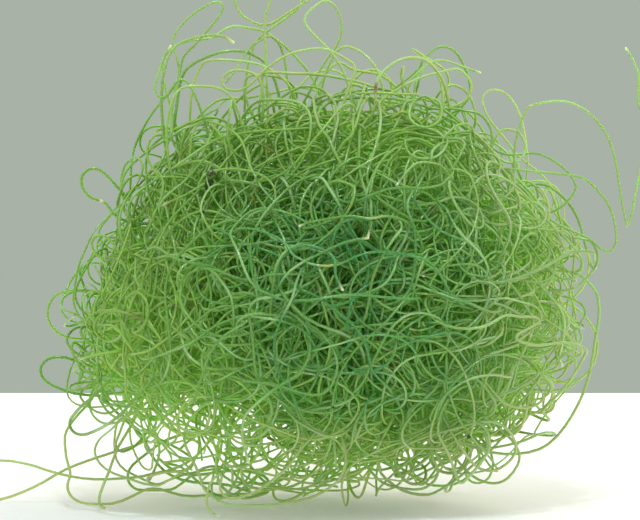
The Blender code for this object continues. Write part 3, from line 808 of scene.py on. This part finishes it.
# How fine the tubes are: the most that one turns in a step, its longest and shortest step, and
# the sides of those deep in the clump, of the others and of the ones that are followed.
TURN_PER_STEP = math.radians(13)
LONGEST_STEP = 0.0018
SHORTEST_STEP = 0.00045
SMOOTHED_TIMES = 2
FEWEST_STEPS = 4
DEEP_SIDES = 4
DEEP_FROM = 0.9
INNER_SIDES = 6
OUTER_SIDES = 8

# How thick they are: shares of the solids' filament, and how much one differs from the next.
FOLLOWED_FINER = 0.88
FINER = 0.78
THICKNESS_SPREAD = 0.08

# The smaller rings that round a tube's end: how far beyond its last point each one is and how wide,
# as shares of the tube's radius.
TIP_RINGS = ((0.6, 0.8), (0.95, 0.3))
ANY_SIDE = (0.31, 0.52, 0.79)

# Where a tube lies in the baked picture: the free share of its strip to each side, and the size of
# its end caps there.
STRIP_MARGIN = 0.1
CAP_WIDTH = 0.002
CAP_HEIGHT = 0.3


def thinned(points):
    """The points that a tube needs: close together in bends, far apart in straight stretches."""
    smooth = points.copy()
    for _ in range(SMOOTHED_TIMES):
        smooth[1:-1] = (smooth[:-2] + 2 * smooth[1:-1] + smooth[2:]) / 4
    steps = np.diff(smooth, axis=0)
    lengths = np.linalg.norm(steps, axis=1)
    headings = steps / lengths[:, None]
    turns = np.arccos(np.clip((headings[:-1] * headings[1:]).sum(axis=1), -1, 1))
    turns = np.convolve(turns, np.ones(3) / 3, "same")
    turning = np.concatenate(([turns[0]], (turns[:-1] + turns[1:]) / 2, [turns[-1]]))
    need = np.clip(turning / TURN_PER_STEP / lengths, 1 / LONGEST_STEP, 1 / SHORTEST_STEP) * lengths
    travelled = np.concatenate(([0], np.cumsum(need)))
    count = max(FEWEST_STEPS, math.ceil(travelled[-1]))
    even = np.linspace(0, travelled[-1], count + 1)
    return np.stack([np.interp(even, travelled, smooth[:, axis]) for axis in range(3)], axis=1)


def frames_along(points):
    """The heading, a side vector and one across it at each point, that don't twist along the line."""
    headings = unit(np.gradient(points, axis=0))
    side = np.cross(headings[0], ANY_SIDE)
    side /= np.linalg.norm(side)
    sides = np.empty_like(points)
    for index, heading in enumerate(headings):
        side = side - heading * side.dot(heading)
        side /= math.sqrt(side.dot(side))
        sides[index] = side
    return headings, sides, np.cross(headings, sides)


def tube(points, thickness, sides):
    """The rings of a tube with rounded ends, and how far along each ring is."""
    headings, side, across = frames_along(points)
    radius = thickness / 2
    first = [points[0] - headings[0] * radius * beyond for beyond, _ in reversed(TIP_RINGS)]
    last = [points[-1] + headings[-1] * radius * beyond for beyond, _ in TIP_RINGS]
    line = np.concatenate((first, points, last))
    narrowing = [width * radius for _, width in TIP_RINGS]
    radii = np.concatenate((narrowing[::-1], np.full(len(points), radius), narrowing))
    at_ends = ((len(TIP_RINGS), len(TIP_RINGS)), (0, 0))
    side, across = np.pad(side, at_ends, "edge"), np.pad(across, at_ends, "edge")
    angles = np.arange(sides) * 2 * math.pi / sides
    ring = (
        side[:, None, :] * np.cos(angles)[None, :, None]
        + across[:, None, :] * np.sin(angles)[None, :, None]
    )
    lengths = np.linalg.norm(np.diff(line, axis=0), axis=1)
    return line[:, None, :] + ring * radii[:, None, None], np.concatenate(([0], np.cumsum(lengths)))


def strip_of(row, rows, along, sides):
    """Where a tube's faces and its two end caps lie in the baked picture: a strip of their own."""
    u = along / along[-1]
    v = (row + STRIP_MARGIN + (1 - 2 * STRIP_MARGIN) * np.arange(sides + 1) / sides) / rows
    left, right = np.repeat(u[:-1], sides), np.repeat(u[1:], sides)
    low, high = np.tile(v[:-1], len(along) - 1), np.tile(v[1:], len(along) - 1)
    strip = np.stack((left, low, left, high, right, high, right, low), axis=-1).reshape(-1, 2)
    turn = np.arange(sides) * 2 * math.pi / sides
    inwards = CAP_WIDTH * (1 + np.cos(turn))
    middle = (row + 0.5 + CAP_HEIGHT * np.sin(turn)) / rows
    return strip, np.stack((inwards, middle), axis=1), np.stack((1 - inwards, middle), axis=1)


# What each corner of a tube says of its colour, beside its stain: how much painted shade and bluish
# haze and how much painted light it gets, how deep in the clump it is for its painted glow, how many
# millimetres along, and the filament's own number from 0 to 1.
CHANNELS = ("cool", "pale", "inner", "along", "own")


def filament_mesh(name, filaments):
    """One mesh of many tubes, with what their colour needs at each corner."""
    corners, quads, caps, strips, cap_strips, values, stains = [], [], [], [], [], [], []
    start = 0
    for row, filament in enumerate(filaments):
        sides, own = filament["sides"], filament["own"]
        rings, along = tube(filament["points"], filament["thickness"], sides)
        number = start + np.arange(len(rings) * sides).reshape(-1, sides)
        turned = np.roll(number, -1, axis=1)
        corners.append(rings.reshape(-1, 3))
        quads.append(np.stack((number[:-1], turned[:-1], turned[1:], number[1:]), axis=-1).ravel())
        caps += [number[0, ::-1], number[-1]]
        strip, *ends = strip_of(row, len(filaments), along, sides)
        strips.append(strip)
        cap_strips += ends
        middle = rings.mean(axis=1)
        # Painted shade and haze, painted light, and the depth that sets the painted glow, ring by ring.
        cool = painted_shade_and_haze(middle) * (COOLEST - COOL_SPREAD * (own * OWN_COOL % 1))
        told = (cool, painted_light_share(middle), innerness(middle), along / MILLIMETRE, np.full(len(rings), own))
        values.append(np.repeat(np.stack(told, axis=1), sides, axis=0))
        stains.append(np.repeat(stained(middle, along, filament), sides, axis=0))
        start += number.size
    mesh = bpy.data.meshes.new(name)
    mesh.vertices.add(start)
    mesh.vertices.foreach_set("co", np.concatenate(corners).astype(np.float32).ravel())
    loops = np.concatenate([*quads, *caps])
    sizes = np.array([4] * (sum(map(len, quads)) // 4) + [len(cap) for cap in caps])
    mesh.loops.add(len(loops))
    mesh.loops.foreach_set("vertex_index", loops.astype(np.int32))
    mesh.polygons.add(len(sizes))
    mesh.polygons.foreach_set("loop_start", (np.cumsum(sizes) - sizes).astype(np.int32))
    mesh.update(calc_edges=True)
    mesh.polygons.foreach_set("use_smooth", np.ones(len(sizes), bool))
    layer = mesh.uv_layers.new(name="OFBake")
    layer.data.foreach_set("uv", np.concatenate([*strips, *cap_strips]).astype(np.float32).ravel())
    stain = mesh.attributes.new("stain", "FLOAT_COLOR", "POINT")
    stain.data.foreach_set("color", np.concatenate(stains).astype(np.float32).ravel())
    for channel, told in zip(CHANNELS, np.concatenate(values).T):
        attribute = mesh.attributes.new(channel, "FLOAT", "POINT")
        attribute.data.foreach_set("value", told.astype(np.float32))
    mesh.validate()
    return mesh


# Dead ends and stains: the pixel where each shows, half its length and its colour. Each is on the
# filament nearest to the eye there, among those that pass as near to the pixel as this.
TIP_LENGTH = 0.00045
TIP_CREAM = "#E3E6BE"
DEAD_PINK = "#E8A594"
DEAD_TAN = "#B4AC5C"
FADED_TAN = "#A6B478"
DEAD_CREAM = "#EFE0B8"
OLD_OLIVE = "#8A8A3E"
RUST = "#A8603C"
STAINS = (
    ((232, 43), 0.0010, DEAD_PINK),
    ((399, 182), 0.0009, DEAD_PINK),
    ((394, 186), 0.0006, DEAD_CREAM),
    ((328, 266), 0.0013, DEAD_TAN),
    ((375, 219), 0.0014, FADED_TAN),
    ((419, 276), 0.0003, DEAD_CREAM),
    ((375, 91), 0.0005, RUST),
    ((250, 458), 0.0006, RUST),
    ((168, 207), 0.0004, DEAD_CREAM),
    ((100, 210), 0.0004, DEAD_CREAM),
    ((482, 200), 0.0005, DEAD_CREAM),
    ((366, 238), 0.0004, DEAD_CREAM),
)
STAIN_WITHIN_PX = 2.5
STAIN_BEYOND_NEAREST_PX = 0.1
STAIN_FADES = (0.5, 1.3)

# The share of the other filaments that have an old stretch somewhere, and half its length.
STAINED_SHARE = 0.08
STAIN_LENGTHS = (0.001, 0.004)

# How much painted shade and bluish haze the filaments get, by how far forward, by column and by
# row, and how much less of it to the far right and low down.
COOL_MOST = 0.9
COOL_FORWARD = (-0.004, 0.022)
COOL_COLUMN = (100, 300)
COOL_ROW = (100, 260)
WARMER_RIGHT = 0.4
WARMER_COLUMN = (480, 600)
WARMER_LOW = 0.6
WARMER_ROW = (390, 450)

# One gets so many times the painted shade and haze that its place says, less up to the spread. How
# much less is read from its own number, taken this many times, so that it doesn't follow its own tone.
COOLEST = 1.25
COOL_SPREAD = 0.8
OWN_COOL = 7

# Painted light that makes them pale: to the right, at the top and low down by the bright floor.
PALE_RIGHT = 0.65
PALE_COLUMN = (400, 540)
PALE_TOP = 0.75
PALE_TOP_ROW = (50, 150)
PALE_LOW = 0.75
PALE_LOW_ROW = (390, 460)
INNER_FROM_TO = (0.0005, 0.008)


def stained(middle, along, filament):
    """The colour and the strength of what marks each ring of a filament: a tip or a stain."""
    marks = [(0.0, TIP_LENGTH, TIP_CREAM)] * filament["tips"][0]
    marks += [(along[-1], TIP_LENGTH, TIP_CREAM)] * filament["tips"][1]
    for place, half_length, colour in filament["stains"]:
        nearest = np.argmin(np.linalg.norm(middle - place, axis=1))
        marks.append((along[nearest], half_length, colour))
    shown = np.zeros((len(along), 4))
    for place, half_length, colour in marks:
        full, gone = [share * half_length for share in STAIN_FADES]
        strength = 1 - smoothstep(np.abs(along - place), full, gone)
        stronger = strength > shown[:, 3]
        shown[stronger, :3] = linear(colour)[:3]
        shown[stronger, 3] = strength[stronger]
    return shown


def find_stains(routes):
    """The stains of each route: a stain is on the one nearest to the eye at the stain's pixel."""
    found = [[] for _ in routes]
    points = np.concatenate(routes)
    owner = np.repeat(np.arange(len(routes)), [len(route) for route in routes])
    column, row = column_and_row(points)
    for (at_column, at_row), half_length, colour in STAINS:
        off = np.hypot(column - at_column, row - at_row)
        near = np.flatnonzero(off < max(STAIN_WITHIN_PX, off.min() + STAIN_BEYOND_NEAREST_PX))
        hit = near[np.argmin(points[near, 1])]
        found[owner[hit]].append((points[hit], half_length, colour))
    return found


def painted_shade_and_haze(points):
    """Painted shade and bluish haze: most on the front of the clump's middle, least at its edges."""
    column, row = column_and_row(points)
    front = smoothstep(-points[:, 1], *COOL_FORWARD)
    across = smoothstep(column, *COOL_COLUMN) * (1 - WARMER_RIGHT * smoothstep(column, *WARMER_COLUMN))
    up = smoothstep(row, *COOL_ROW)
    return COOL_MOST * front * across * up * (1 - WARMER_LOW * smoothstep(row, *WARMER_ROW))


def innerness(points):
    """How deep in the clump a filament is, from 0 at its outside to 1 where light comes dimly."""
    distance, outward = outwards(points)
    return smoothstep(reaches(outward) - distance, *INNER_FROM_TO)


def painted_light_share(points):
    """Painted light: more to the right and the top, where less of the clump is behind, and low down."""
    column, row = column_and_row(points)
    right = PALE_RIGHT * smoothstep(column, *PALE_COLUMN)
    top = PALE_TOP * (1 - smoothstep(row, *PALE_TOP_ROW))
    low = PALE_LOW * smoothstep(row, *PALE_LOW_ROW)
    return np.maximum(np.maximum(right, top), low)


def linear(hex_colour):
    """The linear values of an sRGB hex colour, with full alpha."""
    values = [int(hex_colour[i : i + 2], 16) / 255 for i in (1, 3, 5)]
    return (*[v / 12.92 if v <= 0.04045 else ((v + 0.055) / 1.055) ** 2.4 for v in values], 1.0)


def add_node(tree, kind, settings=None, **inputs):
    """A node with its settings, and its inputs set to values or linked to sockets."""
    node = tree.nodes.new(kind)
    for name, value in (settings or {}).items():
        setattr(node, name, value)
    for name, value in inputs.items():
        key = int(name[1:]) if name[0] == "_" else name.replace("_", " ")
        socket = node.inputs[key]
        if isinstance(value, bpy.types.NodeSocket):
            tree.links.new(value, socket)
        else:
            socket.default_value = value
    return node


def new_material(name):
    """A material with its node tree and its shader."""
    material = bpy.data.materials.new(name)
    material.use_nodes = True
    return material, material.node_tree, material.node_tree.nodes["Principled BSDF"]


# Living green where a filament stands free. The rest are painted light and shade: a darker bluish
# green for painted shade and haze, a pale one for painted light, and bright ones for a painted glow
# deep in the clump, dimmer under the painted shade.
WARM_GREEN = "#9CB45E"
PAINTED_SHADE_HAZE_GREEN = "#509260"
PAINTED_LIGHT_GREEN = "#CCC6A0"
PAINTED_GLOW_GREEN = "#D4F68E"
PAINTED_GLOW_SHADED_GREEN = "#98D276"

# Each filament is a little duller or brighter than the next.
DULLEST = "#BCDDB6"
BRIGHTEST = "#FFFFF0"
SHADE_SHOWS = 0.8

# Stretches of emptier cells, by a noise between 0 and 1 along the filament.
OWN_START_MM = 977.0
EMPTY_GREEN = "#B4D29C"
EMPTIER_OVER_MM = 14
EMPTIER_ABOVE = 0.52
EMPTIEST_ABOVE = 0.72
EMPTIEST_SHOWS = 0.55

# The cells stand in one row, with a clear wall between each and the next.
WALL_GREEN = "#C3E2A6"
CELL_MM = 0.7
WALL_MM = 0.12
WALL_SHOWS = 0.15

# A wet skin of cellulose, and how much light goes through the green below it and how far.
WET_ROUGHNESS = 0.15
CELLULOSE_IOR = 1.38
LIGHT_GOES_THROUGH = 0.85
LIGHT_GOES = 0.0009
GREEN_GOES_FURTHEST = (0.6, 1.0, 0.25)


def algal_wall():
    """Living filament: a clear cellulose tube full of green, wet on the outside.

    Light goes into it and comes out greener a little way on, so that it seems to glow from within,
    and its wet skin draws a fine bright line along it. Its green is also painted by where it lies in
    the clump: painted shade and bluish haze, painted light and a painted glow.
    """
    material, tree, shader = new_material("living algal filament")
    cool, pale, inner, along, own = [
        add_node(tree, "ShaderNodeAttribute", {"attribute_name": name}).outputs["Fac"]
        for name in CHANNELS
    ]
    stain = add_node(tree, "ShaderNodeAttribute", {"attribute_name": "stain"}).outputs
    # Painted glow: deep in the clump the green is painted bright for the light that passes through the
    # filaments there, and dimmer under the painted shade.
    deep = add_node(
        tree, "ShaderNodeMix", {"data_type": "RGBA"},
        _0=cool, _6=linear(PAINTED_GLOW_GREEN), _7=linear(PAINTED_GLOW_SHADED_GREEN),
    )
    shade = add_node(tree, "ShaderNodeValToRGB", Fac=own)
    shade.color_ramp.elements[0].color = linear(DULLEST)
    shade.color_ramp.elements[1].color = linear(BRIGHTEST)
    place = add_node(
        tree, "ShaderNodeMath", {"operation": "MULTIPLY_ADD"}, _0=own, _1=OWN_START_MM, _2=along
    )
    patches = add_node(
        tree, "ShaderNodeTexNoise", {"noise_dimensions": "1D"},
        W=place.outputs[0], Scale=1 / EMPTIER_OVER_MM, Detail=1.0,
    )
    empty = add_node(
        tree, "ShaderNodeMapRange", Value=patches.outputs["Fac"],
        From_Min=EMPTIER_ABOVE, From_Max=EMPTIEST_ABOVE, To_Max=EMPTIEST_SHOWS,
    )
    in_cell = add_node(
        tree, "ShaderNodeMath", {"operation": "PINGPONG"}, _0=place.outputs[0], _1=CELL_MM / 2
    )
    walls = add_node(
        tree, "ShaderNodeMapRange", Value=in_cell.outputs[0],
        From_Min=CELL_MM / 2 - WALL_MM, From_Max=CELL_MM / 2, To_Max=WALL_SHOWS,
    )
    colour = linear(WARM_GREEN)
    for blend, strength, over in (
        # painted shade and bluish haze
        ("MIX", cool, linear(PAINTED_SHADE_HAZE_GREEN)),
        # painted light
        ("MIX", pale, linear(PAINTED_LIGHT_GREEN)),
        # painted glow deep in the clump
        ("MIX", inner, deep.outputs[2]),
        ("MULTIPLY", SHADE_SHOWS, shade.outputs["Color"]),
        ("MIX", empty.outputs["Result"], linear(EMPTY_GREEN)),
        ("MIX", walls.outputs["Result"], linear(WALL_GREEN)),
        ("MIX", stain["Alpha"], stain["Color"]),
    ):
        colour = add_node(
            tree, "ShaderNodeMix", {"data_type": "RGBA", "blend_type": blend},
            _0=strength, _6=colour, _7=over,
        ).outputs[2]
    tree.links.new(colour, shader.inputs["Base Color"])
    for name, value in {
        "Roughness": WET_ROUGHNESS,
        "IOR": CELLULOSE_IOR,
        "Subsurface Weight": LIGHT_GOES_THROUGH,
        "Subsurface Radius": GREEN_GOES_FURTHEST,
        "Subsurface Scale": LIGHT_GOES,
    }.items():
        shader.inputs[name].default_value = value
    return material


# Rotted matter: the dark and the light of its specks, first greenish and then brown, where between
# them a speck turns, how many specks there are in a metre and how rough it is.
CRUMB_SHADES = (("#1A2814", "#46602E"), ("#46482E", "#82845A"))
CRUMB_STOPS = (0.35, 0.7)
CRUMB_SPECKS = 1800.0
CRUMB_ROUGHNESS = 0.85


def detritus_crumb():
    """Rotted plant matter: dull and rough, greenish black in some lumps and grey brown in others."""
    material, tree, shader = new_material("rotted plant matter")
    specks = add_node(tree, "ShaderNodeTexNoise", Scale=CRUMB_SPECKS, Detail=4.0)
    brown = add_node(tree, "ShaderNodeAttribute", {"attribute_name": "brown"})
    shades = []
    for colours in CRUMB_SHADES:
        ramp = add_node(tree, "ShaderNodeValToRGB", Fac=specks.outputs["Fac"])
        for stop, place, colour in zip(ramp.color_ramp.elements, CRUMB_STOPS, colours):
            stop.position, stop.color = place, linear(colour)
        shades.append(ramp.outputs["Color"])
    colour = add_node(
        tree, "ShaderNodeMix", {"data_type": "RGBA"},
        _0=brown.outputs["Fac"], _6=shades[0], _7=shades[1],
    )
    tree.links.new(colour.outputs[2], shader.inputs["Base Color"])
    shader.inputs["Roughness"].default_value = CRUMB_ROUGHNESS
    return material


# How far from the clump's middle its front and back, and its sides, are pieces of their own.
FRONT_FROM = 0.012
SIDES_FROM = 0.014


def zone_of(points):
    """The part of the tangle that a filament lies in."""
    x, y, z = points.mean(axis=0) - CENTRE
    if y < -FRONT_FROM:
        return "front_left" if x < 0 else "front_right"
    if y > FRONT_FROM:
        return "back_left" if x < 0 else "back_right"
    if abs(x) > SIDES_FROM:
        return "left" if x < 0 else "right"
    return "crown" if z > 0 else "foot"


def add_piece(name, mesh, material, node):
    """A piece that stands for a node of the solids."""
    piece = bpy.data.objects.new(name, mesh)
    bpy.context.scene.collection.objects.link(piece)
    mesh.materials.append(material)
    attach(piece, "root")
    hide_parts(node)


def finished(name, points, stains, rng):
    """A filament with all that its tube needs. It has a name if the photograph shows its route."""
    deep = innerness(points).mean() > DEEP_FROM
    if not name and rng.uniform() < STAINED_SHARE:
        stains.append((rng.choice(points), rng.uniform(*STAIN_LENGTHS), OLD_OLIVE))
    finer = rng.normal(FOLLOWED_FINER if name else FINER, THICKNESS_SPREAD)
    return {
        "points": thinned(points),
        "thickness": FILAMENT_DIAMETER * finer,
        "sides": OUTER_SIDES if name else DEEP_SIDES if deep else INNER_SIDES,
        "tips": (name in TIP_AT_START, name in TIP_AT_END),
        "own": rng.uniform(),
        "stains": stains,
    }


# The lumps of crumbs in each piece of detritus: the lump's middle and its spread as shares of the
# solid's half size, how many crumbs it has, how big they are as shares of the least half size, and
# how brown they are.
LUMPS = {
    "detritus_upper_left": (
        ((0.4, 0.6, 0.66), (0.5, 0.4, 0.18), 12, (0.16, 0.3), 0.9),
        ((0.15, 0.6, -0.16), (0.42, 0.4, 0.42), 20, (0.2, 0.42), 0.05),
    ),
    "detritus_left": (((0.0, 0.6, 0.0), (0.55, 0.4, 0.55), 8, (0.25, 0.5), 0.35),),
    "detritus_low_middle": (((0.0, 0.6, 0.0), (0.4, 0.4, 0.55), 7, (0.25, 0.5), 0.0),),
    "detritus_low_right": (((0.0, 0.6, 0.0), (0.6, 0.5, 0.4), 9, (0.25, 0.5), 0.6),),
}


def holding_strands(rng):
    """A strand through each lump of detritus, which sinks into the tangle on both sides of it."""
    starts = []
    for name, lumps in LUMPS.items():
        low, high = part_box(name)
        middle, half = np.array((low + high) / 2), np.array((high - low) / 2)
        for centre, spread, *_ in lumps:
            starts.append(middle + (np.array(centre) + rng.uniform(-1, 1, size=3) * spread) * half)
    starts = np.array(starts)
    across = np.cross(outwards(starts)[1], rng.normal(size=starts.shape))
    shortest, longest = [round(length / STEP) for length in RUNS_ON]
    level, deep = np.zeros(2 * len(starts)), np.full(2 * len(starts), SINKS_IN[1])
    both = np.concatenate((starts, starts))
    lines = wander(both, np.concatenate((across, -across)), longest, level, deep, rng)
    lengths = rng.integers(shortest, longest, size=len(lines))
    halves = [line[: ends_inside(line[:length])[1]] for line, length in zip(lines, lengths)]
    return [
        np.concatenate((back[:0:-1], there))
        for there, back in zip(halves[: len(starts)], halves[len(starts) :])
    ]


def make_clump():
    """Each loose filament stands for its own node, and the tangle for the matted filaments."""
    rng = np.random.default_rng(SEED)
    followed = run_on(followed_routes(), rng)
    others = tangled(rng, followed.values())
    holding = holding_strands(np.random.default_rng(SEED))
    counts = (len(followed), len(others), len(holding))
    gives = np.repeat((KEEPS_ITS_PLACE, 1.0, KEEPS_ITS_PLACE), counts)
    parted = moved_apart([*followed.values(), *others, *holding], gives)
    names = [*followed] + [None] * (len(others) + len(holding))
    algal = algal_wall()
    tangle = {}
    for index, (name, points, stains) in enumerate(zip(names, parted, find_stains(parted))):
        filament = finished(name, points, stains, rng)
        if name in CROWN_STRANDS:
            tangle.setdefault("strands_over_crown", []).append(filament)
        elif name in FRONT_STRANDS:
            tangle.setdefault("strands_in_front", []).append(filament)
        elif name:
            add_piece(name + "_fine", filament_mesh(name, [filament]), algal, name)
        elif index < len(names) - len(holding):
            tangle.setdefault("tangle_" + zone_of(filament["points"]), []).append(filament)
        else:
            tangle.setdefault("strands_round_detritus", []).append(filament)
    for name, members in sorted(tangle.items()):
        add_piece(name, filament_mesh(name, members), algal, "matted_filaments")


# How far from its lump's middle a crumb lies, as shares of the spread, and how flat it is one way.
CRUMB_PLACES = (0.2, 1.0)
CRUMB_FLATTER = 0.45

# The knobs and the finer grains of a crumb: how high as a share of its radius, and how close.
KNOBS_HIGH, KNOBS_CLOSE = 0.45, 1.4
GRAINS_HIGH, GRAINS_CLOSE = 0.2, 4


def make_detritus():
    """Each piece of detritus is a loose heap of rough crumbs within its solid."""
    crumb = detritus_crumb()
    rng = np.random.default_rng(SEED)
    for name, lumps in LUMPS.items():
        low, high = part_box(name)
        middle, half = np.array((low + high) / 2), np.array((high - low) / 2)
        heap = bmesh.new()
        browns = []
        for centre, spread, count, sizes, brown in lumps:
            for index in range(count):
                away = unit(rng.normal(size=(1, 3)))[0] * rng.uniform(*CRUMB_PLACES)
                place = Vector(middle + (np.array(centre) + away * spread) * half)
                size = min(half) * rng.uniform(*sizes)
                flat = Vector(unit(rng.normal(size=(1, 3)))[0])
                made = bmesh.ops.create_icosphere(heap, subdivisions=3, radius=1.0)
                for corner in made["verts"]:
                    knob = noise.noise(corner.co * KNOBS_CLOSE + Vector((index, 0, 0)))
                    grain = noise.noise(corner.co * GRAINS_CLOSE)
                    co = corner.co * (1 + KNOBS_HIGH * knob + GRAINS_HIGH * grain)
                    corner.co = place + (co - flat * co.dot(flat) * CRUMB_FLATTER) * size
                browns += [brown] * len(made["verts"])
        mesh = bpy.data.meshes.new(name + "_crumbs")
        heap.to_mesh(mesh)
        heap.free()
        mesh.attributes.new("brown", "FLOAT", "POINT").data.foreach_set("value", browns)
        mesh.polygons.foreach_set("use_smooth", np.ones(len(mesh.polygons), bool))
        add_piece(name + "_fine", mesh, crumb, name)


# The floor's half width and depth, its colour and how much it glows, as it is lit from above more
# than the clump is. Then what is seen behind, and the pale light that the clump has all round.
FLOOR_REACH = 0.156
FLOOR_COLOUR = "#F0EAEA"
FLOOR_ROUGHNESS = 0.9
FLOOR_GLOW_COLOUR = "#FFFAFA"
FLOOR_GLOW = 0.16
BEHIND_COLOUR = "#A8B2A6"
ALL_ROUND_COLOUR = "#E9F2EC"
ALL_ROUND_STRENGTH = 0.72

# Each light's place, size, watts and colour, and whether it shows as a glint on the wet filaments.
# The last one is what the bright floor behind the clump throws back at its foot.
LIGHTS = {
    "top_light": ((0.0, -0.22, 0.5), 0.04, 1.0, "#E6FAFF", True),
    "back_light": ((0.28, 0.3, 0.3), 0.3, 1.2, "#FFFFF0", False),
    "ground_light": ((0.0, 0.35, 0.03), 0.3, 1.0, "#FFFFF4", False),
}
CAMERA_DISTANCE = 1.2
SENSOR_WIDTH = 36.0
NEAREST_SEEN, FURTHEST_SEEN = 0.05, 10


def make_floor():
    """A plain pale floor that ends behind the clump."""
    mesh = bpy.data.meshes.new("floor")
    out = FLOOR_REACH
    mesh.from_pydata([(-out, -out, 0), (out, -out, 0), (out, out, 0), (-out, out, 0)], [], [(0, 1, 2, 3)])
    floor = bpy.data.objects.new("floor", mesh)
    matt, _, shader = new_material("pale matt floor")
    mesh.materials.append(matt)
    shader.inputs["Base Color"].default_value = linear(FLOOR_COLOUR)
    shader.inputs["Roughness"].default_value = FLOOR_ROUGHNESS
    shader.inputs["Emission Color"].default_value = linear(FLOOR_GLOW_COLOUR)
    shader.inputs["Emission Strength"].default_value = FLOOR_GLOW
    bpy.context.scene.collection.objects.link(floor)


def make_studio():
    """What is seen behind is a plain grey, and what lights the clump all round is pale and soft."""
    world = bpy.data.worlds.new("pale studio")
    bpy.context.scene.world = world
    world.use_nodes = True
    bpy.context.scene.view_settings.view_transform = "Standard"
    tree = world.node_tree
    behind = tree.nodes["Background"]
    behind.inputs["Color"].default_value = linear(BEHIND_COLOUR)
    all_round = add_node(
        tree, "ShaderNodeBackground", Color=linear(ALL_ROUND_COLOUR), Strength=ALL_ROUND_STRENGTH
    )
    seen = add_node(tree, "ShaderNodeLightPath")
    either = add_node(
        tree, "ShaderNodeMixShader",
        _0=seen.outputs["Is Camera Ray"], _1=all_round.outputs[0], _2=behind.outputs[0],
    )
    tree.links.new(either.outputs[0], tree.nodes["World Output"].inputs["Surface"])


def make_lights():
    """Soft square lights that face the clump's middle."""
    for name, (place, size, watts, colour, glints) in LIGHTS.items():
        light = bpy.data.lights.new(name, "AREA")
        light.shape = "SQUARE"
        light.size = size
        light.energy = watts
        light.color = linear(colour)[:3]
        lamp = bpy.data.objects.new(name, light)
        lamp.location = place
        lamp.rotation_mode = "QUATERNION"
        lamp.rotation_quaternion = (MIDDLE - Vector(place)).to_track_quat("-Z", "Y")
        lamp.visible_glossy = glints
        bpy.context.scene.collection.objects.link(lamp)


def make_camera():
    """A long lens that shows the clump's middle plane at the photograph's scale."""
    camera = bpy.data.cameras.new("camera")
    camera.sensor_width = SENSOR_WIDTH
    camera.lens = SENSOR_WIDTH * CAMERA_DISTANCE / (FRAME_PX[0] * PIXEL)
    camera.clip_start, camera.clip_end = NEAREST_SEEN, FURTHEST_SEEN
    eye = bpy.data.objects.new("camera", camera)
    centre = from_pixel(FRAME_PX[0] / 2, FRAME_PX[1] / 2, 0.0)
    back = Vector((0, -math.cos(LOOK_DOWN), math.sin(LOOK_DOWN)))
    eye.location = centre + back * CAMERA_DISTANCE
    eye.rotation_mode = "QUATERNION"
    eye.rotation_quaternion = (-back).to_track_quat("-Z", "Y")
    bpy.context.scene.collection.objects.link(eye)
    bpy.context.scene.camera = eye


make_camera()
make_floor()
make_studio()
make_lights()
make_clump()
make_detritus()
